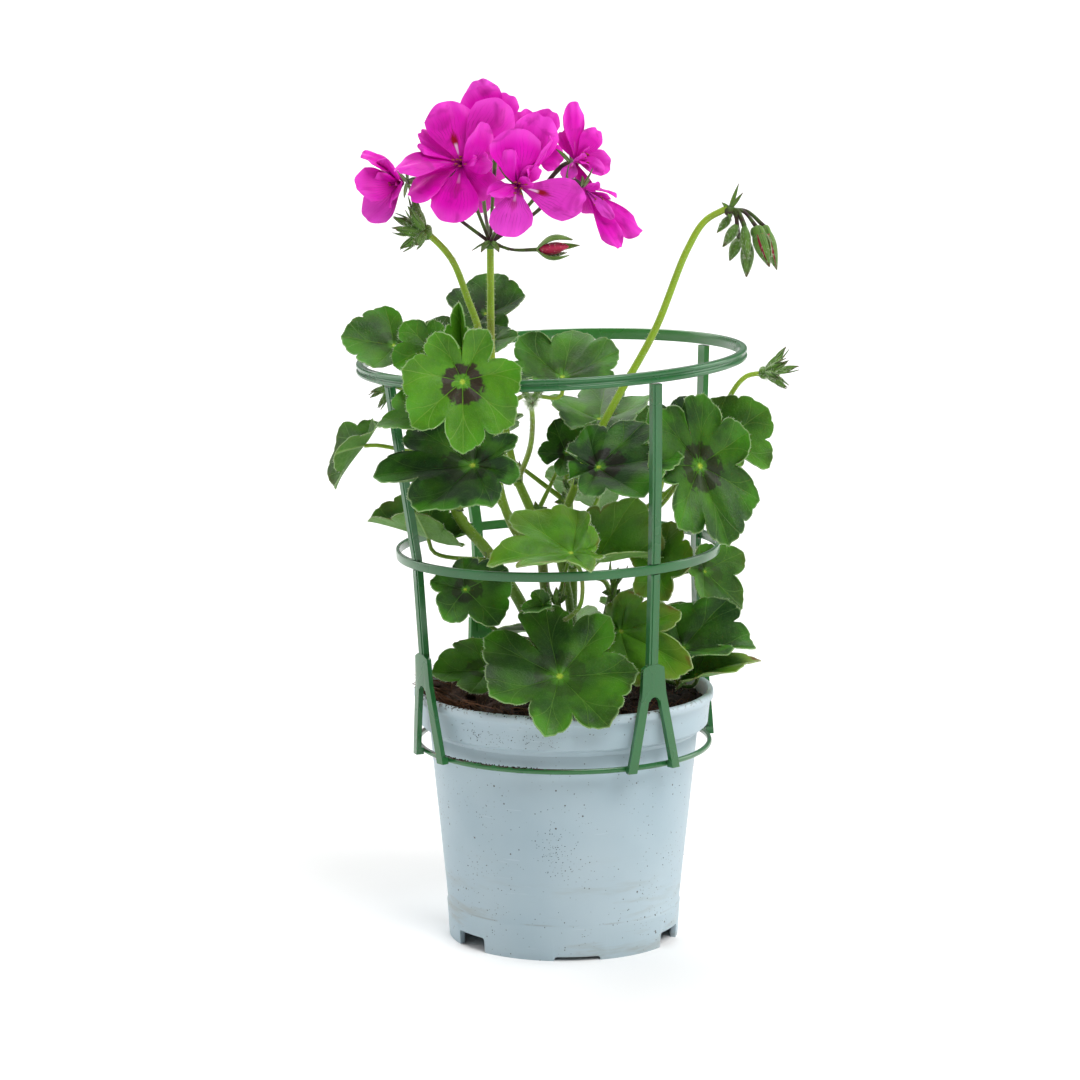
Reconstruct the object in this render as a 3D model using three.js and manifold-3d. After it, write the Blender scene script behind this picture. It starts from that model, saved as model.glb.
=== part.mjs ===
// A potted geranium: a nursery pot with its soil, five leafy stems and one flowering stem, eight magenta
// blooms and one opening bud, and a conical plastic support clipped over the rim of the pot.
// Millimetres, +Z up. The origin is the middle of the pot's foot, and the plant's front faces -Y.
import * as THREE from 'three';
import { mergeVertices } from 'three/addons/utils/BufferGeometryUtils.js';
import Module from 'manifold-3d';

const wasm = await Module();
wasm.setup();

// ---- Driving dimensions ----
const gap = 0.3; // between pieces that touch

// Pot
const potHeight = 109.5;
const lipRadius = 65;
const collarBottom = 94.3;
const footRadius = 49.9;
const footLine = 15.7; // faint step above the foot
const shoulderRadius = 58.2; // body right under the collar
const potWall = 1.3;
const floorHeight = 4.5; // underside of the floor above the table
const footNotches = 6;
const potSides = 28;

// Soil
const soilTop = 103;
const soilSides = 18;

// Support
const ringSides = 32;
const topRing = { x: -5.4, z: 252.3, radius: 83.8, tilt: 2.4 };
const middleRing = { x: -2.6, z: 170.3, radius: 69.9, tilt: 1.3 };
const lowerRing = { x: 0, z: 86, radius: 64.4, tilt: 0 };
const legFoot = 84.6;
const forkTop = 129;
const forkRadius = 68.8; // outer face of a fork's shoulders
const forkDepth = 2.2;
const uprightWidth = 5;
const uprightDepth = 3.2;

// Foliage
const bladeThickness = 0.7;
const petalThickness = 0.6;
const lobeDepth = 0.2;
const layerLift = 0.1; // of a petal's edges, as a part of its length
const petalHalf = 27.4; // degrees from a petal's middle to its edge
const largeLeaf = 27; // a larger radius takes seven lobes in place of five
const smallLeaf = 17; // a smaller radius is plainly cupped
const sinusAngle = 2.86; // half the angle that the blade spans round its stalk, in radians

// ---- Materials ----
const finish = (color, roughness) => new THREE.MeshStandardMaterial({ color, roughness, metalness: 0 });
const potPlastic = finish('#b4c4ce', 0.55);
const supportPlastic = finish('#4f8a5f', 0.4);
const peat = finish('#3a2a20', 0.95);
const foliage = finish('#3f7a2a', 0.5);
const petal = finish('#e219c0', 0.6);
const budPetal = finish('#c4263f', 0.55);

// ---- Solids ----
const vec = (p) => new THREE.Vector3(...p);

function toSolid(geometry) {
  const bare = geometry.clone();
  bare.deleteAttribute('normal');
  bare.deleteAttribute('uv');
  const merged = mergeVertices(bare, 1e-4);
  const index = merged.index.array;
  const corners = [];
  for (let i = 0; i < index.length; i += 3) {
    const [a, b, c] = [index[i], index[i + 1], index[i + 2]];
    if (a !== b && b !== c && c !== a) corners.push(a, b, c);
  }
  return new wasm.Manifold(new wasm.Mesh({
    numProp: 3,
    vertProperties: new Float32Array(merged.attributes.position.array),
    triVerts: new Uint32Array(corners),
  }));
}

const fuse = (solids) => solids.reduce((joined, next) => joined.add(next));

function namedMesh(name, solid, material) {
  const { vertProperties, triVerts, numProp } = solid.getMesh();
  const positions = new Float32Array((vertProperties.length / numProp) * 3);
  for (let i = 0; i < positions.length / 3; i++) {
    positions.set(vertProperties.subarray(i * numProp, i * numProp + 3), i * 3);
  }
  const geometry = new THREE.BufferGeometry();
  geometry.setAttribute('position', new THREE.BufferAttribute(positions, 3));
  geometry.setIndex([...triVerts]);
  geometry.computeVertexNormals();
  const mesh = new THREE.Mesh(geometry, material);
  mesh.name = name;
  return mesh;
}

// Moves each vertex of a geometry by a formula.
function reshape(geometry, formula) {
  const position = geometry.attributes.position;
  const point = new THREE.Vector3();
  for (let i = 0; i < position.count; i++) {
    point.fromBufferAttribute(position, i);
    formula(point);
    position.setXYZ(i, point.x, point.y, point.z);
  }
  return geometry;
}

// A lathe stands along +Y, and the part stands along +Z.
function turned(profile, sides) {
  const points = profile.map(([r, z]) => new THREE.Vector2(r, z));
  return new THREE.LatheGeometry(points, sides).rotateX(Math.PI / 2);
}

function ringOf(section, { x, z, tilt }) {
  const ring = turned([...section, section[0]], ringSides);
  return toSolid(ring.rotateY(THREE.MathUtils.degToRad(-tilt)).translate(x, 0, z));
}

function tube(points, radius, steps, sides = 5) {
  const section = new THREE.Shape();
  for (let i = 0; i < sides; i++) {
    const angle = (i / sides) * 2 * Math.PI;
    const corner = [radius * Math.cos(angle), radius * Math.sin(angle)];
    if (i === 0) section.moveTo(...corner);
    else section.lineTo(...corner);
  }
  const extrudePath = new THREE.CatmullRomCurve3(points.map(vec), false, 'centripetal');
  return toSolid(new THREE.ExtrudeGeometry(section, { steps, extrudePath }));
}

// A thin body either side of the surface that place(row, column) gives. Both faces are split alike. The first
// row is one point, and a closed sheet's last column meets its first.
function sheet(rows, columns, thickness, place, closed = false) {
  const nudge = 1e-3;
  const middle = [];
  const offset = [];
  for (let i = 0; i <= rows; i++) {
    for (let j = 0; j <= columns; j++) {
      const t = Math.max(i / rows, 0.02);
      const s = j / columns;
      const along = place(t + nudge, s).sub(place(t, s));
      const across = place(t, s + nudge).sub(place(t, s - nudge));
      middle.push(place(i / rows, s));
      offset.push(along.cross(across).normalize().multiplyScalar(thickness / 2));
    }
  }
  const shared = offset.slice(0, columns).reduce((sum, o) => sum.add(o.clone()), new THREE.Vector3());
  offset.fill(shared.normalize().multiplyScalar(thickness / 2), 0, columns + 1);
  const points = [1, -1].flatMap((side) => middle.map((p, k) => p.clone().addScaledVector(offset[k], side)));
  const at = (i, j, side) => i * (columns + 1) + (closed ? j % columns : j) + (side < 0 ? middle.length : 0);
  const index = [];
  const quad = (a, b, c, d) => index.push(a, b, c, a, c, d);
  for (let i = 0; i < rows; i++) {
    for (let j = 0; j < columns; j++) {
      quad(at(i, j, 1), at(i + 1, j, 1), at(i + 1, j + 1, 1), at(i, j + 1, 1));
      quad(at(i + 1, j + 1, -1), at(i + 1, j, -1), at(i, j, -1), at(i, j + 1, -1));
    }
  }
  for (let j = 0; j < columns; j++) {
    quad(at(rows, j + 1, 1), at(rows, j, 1), at(rows, j, -1), at(rows, j + 1, -1));
  }
  for (let i = 0; i < rows && !closed; i++) {
    quad(at(i + 1, 0, 1), at(i, 0, 1), at(i, 0, -1), at(i + 1, 0, -1));
    quad(at(i, columns, 1), at(i + 1, columns, 1), at(i + 1, columns, -1), at(i, columns, -1));
  }
  const geometry = new THREE.BufferGeometry().setFromPoints(points);
  geometry.setIndex(index);
  return toSolid(geometry);
}

// ---- Leaf ----
const lobesOf = ({ radius }) => (radius > largeLeaf ? 7 : 5);

// Outline of a round blade with shallow lobes, as a part of its radius, at an angle from its tip.
function lobedOutline(angle, lobes, base) {
  const lobe = Math.abs(Math.cos((angle / sinusAngle) * lobes * Math.PI / 2)) ** 0.55;
  const heart = (1 + base + (1 - base) * Math.cos(angle)) / 2;
  return heart * (1 - lobeDepth + lobeDepth * lobe);
}

// The blade's axes: along to the tip, across, and out of its upper face.
function bladeAxes({ tip, face }) {
  const out = vec(face).normalize();
  const along = vec(tip);
  along.addScaledVector(out, -along.dot(out)).normalize();
  return { along, across: new THREE.Vector3().crossVectors(out, along), out };
}

// Folds a flat blade along its midrib, cups and waves its rim, and bends it down to the tip.
function bladePoint(leaf, axes, rho, angle) {
  const { at, radius, fold = 0.15, cup = 0.1, wave = 0.05, bend = 0.35, base = 0.76 } = leaf;
  const reach = rho * radius * lobedOutline(angle, lobesOf(leaf), base);
  const u = reach * Math.cos(angle);
  const v = reach * Math.sin(angle) * (leaf.width ?? 1);
  const crease = 0.12 * radius;
  const lift = (Math.hypot(v, crease) - crease) * Math.sin(fold);
  const w = lift + radius * rho * rho * (cup + wave * Math.sin(4 * angle + radius));
  const turn = (bend / radius) * u;
  const bent = [Math.sin(turn) * radius / bend, (Math.cos(turn) - 1) * radius / bend];
  return vec(at)
    .addScaledVector(axes.along, bent[0] + w * Math.sin(turn))
    .addScaledVector(axes.across, v * Math.cos(fold))
    .addScaledVector(axes.out, bent[1] + w * Math.cos(turn));
}

// A blade with its stalk, which starts on a stem and ends inside the blade, near the bottom of its sinus.
function leafSolids(leaf) {
  const axes = bladeAxes(leaf);
  const { radius, from, via = [], hang = 0.22, stalk = 1.1 } = leaf;
  const columns = 3 * lobesOf(leaf); // a notch and two shoulders for each lobe
  const rows = radius < smallLeaf ? 1 : 2;
  const blade = sheet(rows, columns, bladeThickness, (rho, turn) => (
    bladePoint(leaf, axes, rho, (2 * turn - 1) * sinusAngle)));
  const under = vec(leaf.at)
    .addScaledVector(axes.out, -hang * radius)
    .addScaledVector(axes.along, -0.12 * radius);
  const end = bladePoint(leaf, axes, 0.28, sinusAngle / columns);
  const path = [from, ...via, ...(hang > 0 ? [under.toArray()] : []), end.toArray()];
  return [blade, tube(path, stalk, path.length - 1, 4)];
}

// ---- Flower head pieces ----
const frameOf = (face, up = [0, 0, 1]) => {
  const out = vec(face).normalize();
  const side = new THREE.Vector3().crossVectors(vec(up), out).normalize();
  return { out, side, up: new THREE.Vector3().crossVectors(out, side) };
};

// A whorl of petals, which grow together at their claws. Each petal points at an angle in degrees and has its
// own part of the length. It has a notch, an edge, a tip and an edge in turn, and its two edges lie above and
// below its neighbours'.
function whorl(bloom, { angles, lengths, rows, length, start, spread }) {
  const axes = frameOf(bloom.face);
  const bow = spread - start;
  const count = angles.length;
  const corners = angles.flatMap((angle, k) => {
    const before = angle - angles[(k + count - 1) % count] + (k === 0 ? 360 : 0);
    const after = angles[(k + 1) % count] - angle + (k === count - 1 ? 360 : 0);
    const edge = Math.min(petalHalf, 0.46 * before, 0.46 * after);
    return [
      [angle - before / 2, 0.3, 0], [angle - edge, 0.88 * lengths[k], 1],
      [angle, lengths[k], 0], [angle + edge, 0.88 * lengths[k], -1],
    ];
  });
  const columns = corners.length;
  corners.push([corners[0][0] + 360, ...corners[0].slice(1)]);
  return sheet(rows, columns, petalThickness, (t, s) => {
    const step = ((s + 1) * columns) % columns;
    const low = Math.floor(step);
    const [degrees, reach, lift] = corners[low].map((value, k) => (
      THREE.MathUtils.lerp(value, corners[low + 1][k], step - low)));
    const angle = THREE.MathUtils.degToRad(degrees);
    const path = t * reach;
    const lean = start + bow * path;
    const raise = layerLift * length * lift * path;
    const radial = axes.side.clone()
      .multiplyScalar(Math.cos(angle))
      .addScaledVector(axes.up, Math.sin(angle));
    return vec(bloom.at)
      .addScaledVector(radial, length * (Math.cos(start) - Math.cos(lean)) / bow - raise * Math.cos(lean))
      .addScaledVector(axes.out, length * (Math.sin(lean) - Math.sin(start)) / bow + raise * Math.sin(lean));
  }, true);
}

// The outer petals, and an inner whorl of three small ones round the middle.
function bloomSolid(bloom) {
  const { size, start = 0.85, spread = 1.6, angles, lengths } = bloom;
  const inner = { angles: [30, 150, 270], lengths: [1, 1, 1] };
  return fuse([
    whorl(bloom, { angles, lengths, rows: 2, length: size, start, spread }),
    whorl(bloom, { ...inner, rows: 1, length: 0.5 * size, start: 0.3 * start, spread: 0.5 * spread }),
  ]);
}

// A star of pointed sepals round an axis: its points sweep back by their drop.
function sepalStar(at, out, { points, reach, drop, notch, thick, dome = 0 }) {
  const axes = frameOf(out.toArray(), Math.abs(out.z) > 0.9 ? [0, 1, 0] : [0, 0, 1]);
  const place = (turn, r, height) => vec(at).addScaledVector(axes.side, r * Math.cos(turn))
    .addScaledVector(axes.up, r * Math.sin(turn)).addScaledVector(axes.out, height);
  const corners = [place(0, 0, dome), place(0, 0, -thick)];
  for (let i = 0; i < 2 * points; i++) {
    const turn = (i / points) * Math.PI;
    corners.push(i % 2 ? place(turn, notch, -thick / 2) : place(turn, reach, -drop));
  }
  const index = [];
  for (let i = 0; i < 2 * points; i++) {
    const next = 2 + ((i + 1) % (2 * points));
    index.push(0, i + 2, next, 1, next, i + 2);
  }
  const geometry = new THREE.BufferGeometry().setFromPoints(corners);
  geometry.setIndex(index);
  return toSolid(geometry);
}

// The stalk of a bloom, which ends in five narrow sepals just behind it.
function calyxSolids(bloom, from) {
  const axes = frameOf(bloom.face);
  const seat = vec(bloom.at).addScaledVector(axes.out, -(petalThickness / 2 + gap));
  const rear = seat.clone().addScaledVector(axes.out, -6);
  const middle = vec(from).lerp(rear, 0.5).add(new THREE.Vector3(0, 0, -1.5));
  const end = seat.clone().addScaledVector(axes.out, -1.1);
  const stalk = tube([from, middle.toArray(), rear.toArray(), end.toArray()], 0.8, 3, 3);
  const sepals = { points: 5, reach: 7.5, drop: 4, notch: 1.6, thick: 2.2 };
  return [stalk, sepalStar(seat.toArray(), axes.out, sepals)];
}

// A pointed bud.
function budSolid(foot, tip, radius, profile = [[0, 0], [1, 0.45], [0, 1]]) {
  const along = vec(tip).sub(vec(foot));
  const length = along.length();
  const outline = profile.map(([r, y]) => new THREE.Vector2(r * radius, y * length));
  const bud = new THREE.LatheGeometry(outline, 4);
  const upright = new THREE.Vector3(0, 1, 0);
  const turn = new THREE.Quaternion().setFromUnitVectors(upright, along.clone().normalize());
  return toSolid(bud.applyQuaternion(turn).translate(...foot));
}

// Buds and sepals that fan out from the end of a stalk round a heading.
function budCluster({ at, heading, spread, length, radius, count }) {
  const axes = frameOf(heading, Math.abs(heading[2]) > 0.9 ? [0, 1, 0] : [0, 0, 1]);
  const golden = 2.39996;
  const heart = radius * 1.25;
  const solids = [toSolid(new THREE.SphereGeometry(heart, 6, 3).translate(...at))];
  for (let i = 0; i < count; i++) {
    const lean = spread * Math.sqrt((i + 0.5) / count);
    const turn = golden * i;
    const reach = length * (1 - 0.22 * ((i * 7) % 3) / 2);
    const way = axes.out.clone().multiplyScalar(Math.cos(lean))
      .addScaledVector(axes.side, Math.sin(lean) * Math.cos(turn))
      .addScaledVector(axes.up, Math.sin(lean) * Math.sin(turn));
    const foot = vec(at).addScaledVector(way, 0.7 * heart);
    solids.push(budSolid(foot.toArray(), vec(at).addScaledVector(way, reach).toArray(), 0.8 * radius));
  }
  return solids;
}

// ---- Pot ----
function buildPot() {
  const lipInner = lipRadius - 3;
  const outer = [
    [footRadius, 0], [footRadius + 1, footLine - 0.6], [footRadius + 0.6, footLine],
    [shoulderRadius, collarBottom - 1], [lipRadius - 2.6, collarBottom],
    [lipRadius - 1.6, potHeight - 5], [lipRadius, potHeight - 3.2],
    [lipRadius - 0.2, potHeight - 1], [lipRadius - 1.2, potHeight],
  ];
  const inner = [
    [lipInner + 0.7, potHeight], [lipInner, potHeight - 1.5], [lipInner - 1.2, collarBottom - 1],
    [shoulderRadius - potWall, collarBottom - 4], [footRadius - potWall + 0.2, floorHeight + potWall],
    [0, floorHeight + potWall], [0, floorHeight],
    [footRadius - potWall - 0.8, floorHeight], [footRadius - 2.4, 0],
  ];
  let pot = toSolid(turned([...outer, ...inner, outer[0]], potSides));
  // Notches in the foot ring let the pot drain, and the holes of the floor open to them.
  const notches = [];
  for (let i = 0; i < footNotches; i++) {
    const front = i === 0;
    const turn = THREE.MathUtils.degToRad(6.6 + i * (360 / footNotches));
    const [wide, high] = front ? [20, 1.8] : [18, 6.5];
    const cutter = new THREE.BoxGeometry(wide, 12, 2 * high).translate(0, -footRadius, 0).rotateZ(turn);
    const hole = new THREE.CylinderGeometry(4.5, 4.5, 8, 6).rotateX(Math.PI / 2);
    notches.push(toSolid(cutter), toSolid(hole.translate(0, -33, floorHeight).rotateZ(turn)));
  }
  pot = pot.subtract(fuse(notches));
  return namedMesh('pot', pot, potPlastic);
}

// ---- Soil ----
// Lumpy peat with two heaps, the larger towards the back left.
function soilLift(x, y) {
  const large = 8 * Math.exp(-((x + 20) ** 2 + (y - 38) ** 2) / 700);
  const small = 4 * Math.exp(-((x - 30) ** 2 + (y - 20) ** 2) / 500);
  const lumps = 1.3 * Math.sin(0.31 * x + 0.6) * Math.cos(0.27 * y) + 0.8 * Math.sin(0.53 * x - 0.47 * y);
  return large + small + lumps;
}

function buildSoil(stemRoots) {
  const wallClear = potWall + gap;
  const profile = [
    [0, floorHeight + wallClear], [footRadius - potWall - 0.6, floorHeight + wallClear],
    [shoulderRadius - wallClear - 0.2, collarBottom - 4.2], [lipRadius - 4.6, collarBottom - 0.6],
    [lipRadius - 3.8, soilTop - 1], [52, soilTop], [41, soilTop], [30, soilTop], [18, soilTop], [0, soilTop],
  ];
  const body = reshape(turned(profile, soilSides), (p) => {
    if (p.z > soilTop - 0.01) p.z += soilLift(p.x, p.y);
  });
  return namedMesh('soil', toSolid(body).subtract(fuse(stemRoots)), peat);
}

// ---- Support ----
// A place on the support: an angle from the front, a height and a distance out from its leaning axis.
function supportPoint(angle, z, radius) {
  const levels = [[0, 0, 0], [lowerRing.z, 0, 0], [middleRing.z, middleRing.x, 0], [topRing.z, topRing.x, 0]];
  let lean = topRing.x;
  for (let i = 0; i < levels.length - 1; i++) {
    const [z0, x0] = levels[i];
    const [z1, x1] = levels[i + 1];
    if (z >= z0 && z <= z1) lean = THREE.MathUtils.mapLinear(z, z0, z1, x0, x1);
  }
  return new THREE.Vector3(lean + radius * Math.sin(angle), -radius * Math.cos(angle), z);
}

const ringSection = {
  top: [[-2.4, -2.2], [0, -2.2], [-0.8, 0], [0, 2.2], [-2.4, 2.2]],
  middle: [[-1.5, -2], [-0.1, -2], [0, 1.7], [-0.4, 2], [-1.5, 2]],
  lower: [[-2, 0], [-1, -1], [0, 0], [-1, 1]],
};

const sectionAt = (section, radius) => section.map(([r, z]) => [radius + r, z]);

// A strip that runs up from the fork to the top ring, with a rib down its middle.
function uprightStrip(angles, stopZ) {
  const half = uprightWidth / 2;
  const section = new THREE.Shape();
  section.moveTo(-half, -uprightDepth);
  section.lineTo(half, -uprightDepth);
  for (const [s, r] of [[half, -0.5], [0.9, 0], [-0.9, 0], [-half, -0.5]]) section.lineTo(s, r);
  const strip = new THREE.ExtrudeGeometry(section, { depth: 1, steps: 4, bevelEnabled: false });
  const heights = [forkTop - 6, 150, middleRing.z, 211, stopZ];
  return toSolid(reshape(strip, (p) => {
    const z = heights[Math.round(p.z * (heights.length - 1))];
    const high = z > middleRing.z;
    const [z0, z1] = high ? [middleRing.z, topRing.z] : [forkTop, middleRing.z];
    const [a0, a1] = high ? [angles[1], angles[2]] : [angles[0], angles[1]];
    const [r0, r1] = high ? [middleRing.radius, topRing.radius - 0.2] : [forkRadius, middleRing.radius];
    const angle = THREE.MathUtils.mapLinear(z, z0, z1, a0, a1);
    const radius = THREE.MathUtils.mapLinear(z, z0, z1, r0, r1) + p.y;
    p.copy(supportPoint(angle - p.x / radius, z, radius));
  }));
}

// The fork that stands over the rim: shoulders, a small arch and two splayed legs.
function forkPlate(angle) {
  const outline = new THREE.Shape();
  const flank = [
    [2.5, forkTop + 1.5], [5.4, forkTop], [6.2, 118], [13.6, legFoot], [9.4, legFoot], [2.9, 115],
  ];
  outline.moveTo(...flank[0]);
  for (const [s, z] of flank.slice(1)) outline.lineTo(s, z);
  outline.absarc(0, 114, 2.6, 0.35, Math.PI - 0.35, false);
  for (const [s, z] of flank.toReversed()) outline.lineTo(-s, z);
  const settings = { depth: forkDepth, steps: 1, bevelEnabled: false, curveSegments: 3 };
  const plate = new THREE.ExtrudeGeometry(outline, settings);
  return toSolid(reshape(plate, (p) => {
    const z = p.y;
    const outerFace = THREE.MathUtils.mapLinear(z, legFoot, forkTop, forkRadius - 0.6, forkRadius);
    p.copy(supportPoint(angle + p.x / forkRadius, z, outerFace - forkDepth + p.z));
  }));
}

// The toe of a leg turns in to the lower ring, under the collar of the pot.
function toe(angle, side) {
  const block = new THREE.BoxGeometry(3.8, 3.4, 3).translate(0, 1.7, 1.5);
  const outerFace = lowerRing.radius + gap;
  return toSolid(reshape(block, (p) => {
    const turn = angle + (side * 11.3 - p.x) / forkRadius;
    p.copy(supportPoint(turn, legFoot + p.z, outerFace + p.y));
  }));
}

function buildSupport() {
  const support = new THREE.Group();
  const rings = [
    ['support_top_ring', ringSection.top, topRing],
    ['support_middle_ring', ringSection.middle, middleRing],
    ['support_lower_ring', ringSection.lower, lowerRing],
  ];
  for (const [name, section, ring] of rings) {
    support.add(namedMesh(name, ringOf(sectionAt(section, ring.radius), ring), supportPlastic));
  }
  // The middle ring lies in a lap cut across each upright.
  const lapSection = [[-1.5 - gap, -2 - gap], [2, -2 - gap], [2, 2 + gap], [-1.5 - gap, 2 + gap]];
  const lap = ringOf(sectionAt(lapSection, middleRing.radius), middleRing);
  // Degrees from the front, at the fork, at the middle ring and at the top ring.
  const uprights = [
    ['support_upright_front_right', [34.5, 36, 31.5]],
    ['support_upright_left', [-60.5, -61.5, -57]],
    ['support_upright_back_right', [116, 117, 125]],
    ['support_upright_back_left', [212, 212, 213]],
  ];
  for (const [name, degrees] of uprights) {
    const angles = degrees.map(THREE.MathUtils.degToRad);
    const ringX = supportPoint(angles[2], topRing.z, topRing.radius).x - topRing.x;
    const underRing = topRing.z + Math.tan(THREE.MathUtils.degToRad(topRing.tilt)) * ringX - 2.2 - gap;
    const fork = [forkPlate(angles[0]), toe(angles[0], 1), toe(angles[0], -1)];
    const upright = fuse([uprightStrip(angles, underRing - 0.25), ...fork]).subtract(lap);
    support.add(namedMesh(name, upright, supportPlastic));
  }
  return support;
}

// ---- Leafy stems ----
// Each stem is a path with its leaves, its side shoots and its buds. The first two points stand in the soil.
const stems = {
  leafy_stem_left: {
    paths: [
      { points: [[-11, -4, 88], [-11, -4, 106], [-13, -5, 134], [-32, -8, 169], [-45, -12, 186],
          [-51, -18, 207]], radius: 2.7, steps: 9 },
      { points: [[-45, -12, 186], [-51, -18, 207], [-56, -22, 230], [-58, -22, 248]], radius: 1.9,
        steps: 5 },
    ],
    leaves: [
      { from: [-46, -13, 190], at: [-38, -56, 215], tip: [-1, -0.05, -0.1], face: [0, -0.75, 0.66],
        radius: 39, via: [[-41, -33, 196]], width: 0.82, base: 0.45, bend: 0.4, stalk: 1.3 },
      { from: [-57, -22, 237], via: [[-58, -42, 237]], at: [-59, -58, 235.5], tip: [-0.97, -0.1, -0.2],
        face: [0.05, -0.55, 0.83], radius: 19, width: 0.8, fold: 0.3 },
      { from: [-52, -19, 212], at: [-84, -34, 221], tip: [-0.62, 0.05, -0.78], face: [-0.78, -0.15, 0.6],
        radius: 21, base: 0.45, fold: 0.6, wave: 0.1, bend: 0.6 },
      { from: [-30, -8, 166], at: [-57, -10, 176], tip: [-0.92, 0.05, 0.3], face: [0.3, -0.35, 0.9],
        radius: 27, base: 0.5, fold: 0.8 },
      { from: [-12, -5, 130], at: [-42, -43, 160], tip: [0.5, -0.2, -0.6], face: [0, -0.7, 0.7], radius: 21,
        via: [[-30, -26, 140]], base: 0.6 },
      { from: [-57, -22, 240], at: [-72, -22, 261], tip: [-0.9, 0, 0.15], face: [0.1, -0.75, 0.66],
        radius: 21, base: 0.5, fold: 0.25 },
      { from: [-58, -22, 244], at: [-57, -38, 262], tip: [-0.75, -0.1, -0.3], face: [-0.1, -0.75, 0.65],
        radius: 16, base: 0.6, fold: 0.5 },
      { from: [-58, -22, 246], at: [-52, 2, 262], tip: [-1, 0.15, 0.05], face: [0, -0.25, 1], radius: 13 },
      { from: [-11, -5, 112], at: [-33, -24, 121], tip: [-0.95, -0.1, 0.15], face: [0.05, -0.6, 0.8],
        radius: 23, via: [[-22, -14, 116]], base: 0.5, width: 0.8 },
    ],
    clusters: [
      { from: [-57, -22, 238], at: [-73, -27, 245], heading: [-0.55, -0.2, -0.8], spread: 0.9, length: 11,
        radius: 1.7, count: 4 },
    ],
  },
  leafy_stem_flowering: {
    paths: [
      { points: [[-4, 6, 88], [-4, 6, 106], [-8, 5, 150], [-12, 5, 179], [-20, 5, 199]], radius: 2.4,
        steps: 7 },
      { points: [[-20, 5, 197], [-25, 2, 222], [-26, -3, 240]], radius: 1.6, steps: 3 },
      { points: [[-20, 5, 199], [-15, -10, 214], [-13.5, -32, 229], [-14, -51, 240]], radius: 1.2, steps: 4 },
      { points: [[-9, 5, 162], [-22, -8, 181], [-28, -10, 200], [-29, -13, 222], [-31, -6, 250],
          [-31.5, -4.5, 303]], radius: 1.9, steps: 7 },
      { points: [[-22, -8, 183], [-33, -12, 205], [-37, -14, 235], [-36, -12, 264], [-41, -14, 280],
          [-47.5, -18, 297], [-55, -20, 306], [-59, -20, 309]], radius: 1.7, steps: 9 },
    ],
    leaves: [
      { from: [-29, -13, 220], at: [-42, -82, 254], tip: [0.02, -0.12, -1], face: [-0.05, -0.97, 0.2],
        radius: 28, via: [[-33, -42, 241], [-40, -66, 242], [-41.5, -77, 242.5]], hang: 0, cup: 0.12,
        bend: 0.2 },
      { from: [-37, -13, 248], at: [-43, -54, 264], tip: [0.02, 0, 1], face: [-0.2, -0.9, 0], radius: 20,
        fold: 1.0, width: 0.75, base: 0.2, bend: -0.1, via: [[-40, -36, 256]] },
      { from: [-30.7, -7.5, 246], at: [-34, 30, 268], tip: [0, 0.66, 0.75], face: [0, -0.75, 0.66],
        radius: 21, base: 0.5, via: [[-33, 14, 258]] },
      { from: [-30.3, -9.5, 240], at: [-30, 12, 259], tip: [0.3, 0.4, 0.5], face: [-0.1, -0.6, 0.8],
        radius: 11 },
      { from: [-29, -12, 226], at: [-1, -42, 250], tip: [0.15, 0.85, 0.5], face: [0, -0.5, 0.87],
        radius: 30, fold: 0.1, via: [[-18, -26, 240]], base: 0.4, bend: 0.15 },
      { from: [-12, 5, 184], at: [1, 12, 210], tip: [0.7, 0.1, 0.65], face: [-0.1, -0.85, 0.5], radius: 17,
        base: 0.6 },
      { from: [-26, -3, 234], at: [-23, -10, 243], tip: [0.5, -0.2, 0.8], face: [-0.5, -0.8, 0.3],
        radius: 9, base: 0.4, fold: 0.7 },
    ],
    clusters: [
      { at: [-59, -20, 309], heading: [-0.75, -0.25, 0.1], spread: 1.2, length: 15, radius: 2.6, count: 7 },
      { at: [-14, -51, 241], heading: [0, -0.5, 0.87], spread: 1.3, length: 8, radius: 1.6, count: 4 },
    ],
  },
  leafy_stem_right: {
    paths: [
      { points: [[6, 2, 88], [6, 2, 106], [2, -6, 150], [-3, -12, 178], [2.5, -14, 194], [11, -12, 215],
          [22, -10, 236], [38.6, -8, 266], [52, -8, 300], [59.6, -8, 312.5], [69, -8, 318]], radius: 1.8,
        steps: 12 },
      { points: [[3, -9, 172], [30, -10, 186], [52, -8, 203], [66, -2, 224], [72, 0, 238], [78, 0, 245],
          [86, 0, 246.5]], radius: 1.3, steps: 8 },
    ],
    leaves: [
      { from: [5, -14, 200], at: [14, -36, 211], tip: [1, 0, -0.05], face: [-0.2, -0.62, 0.75], radius: 34,
        base: 0.3, width: 0.9 },
      { from: [12, -12, 216], at: [15, 1, 226], tip: [0.1, 0.85, 0.4], face: [0, -0.45, 0.9], radius: 27,
        base: 0.5 },
      { from: [0, -10, 164], at: [21, -3, 174], tip: [-0.1, 0.1, 1], face: [-0.2, -0.9, 0.1], radius: 15,
        base: 0.3, fold: 0.5 },
      { from: [3, -9, 170], at: [57, -37, 212], tip: [0.3, -0.15, -0.9], face: [0.15, -0.9, 0.3],
        radius: 33, via: [[25, -18, 180], [42, -24, 194]], width: 0.75, base: 0.85, cup: 0.16 },
      { from: [55, -7, 207], at: [70, -6, 219], tip: [0.75, 0, -0.6], face: [0.2, -0.75, 0.6], radius: 21,
        fold: 0.5 },
      { from: [40, -9, 193], at: [48, 14, 219], tip: [0.3, 0.3, 0.9], face: [-0.2, -0.85, 0.4], radius: 15,
        fold: 0.4 },
    ],
    clusters: [
      { at: [70, -8, 317.5], heading: [0.36, -0.1, -0.93], spread: 0.6, length: 28, radius: 2.8,
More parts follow.
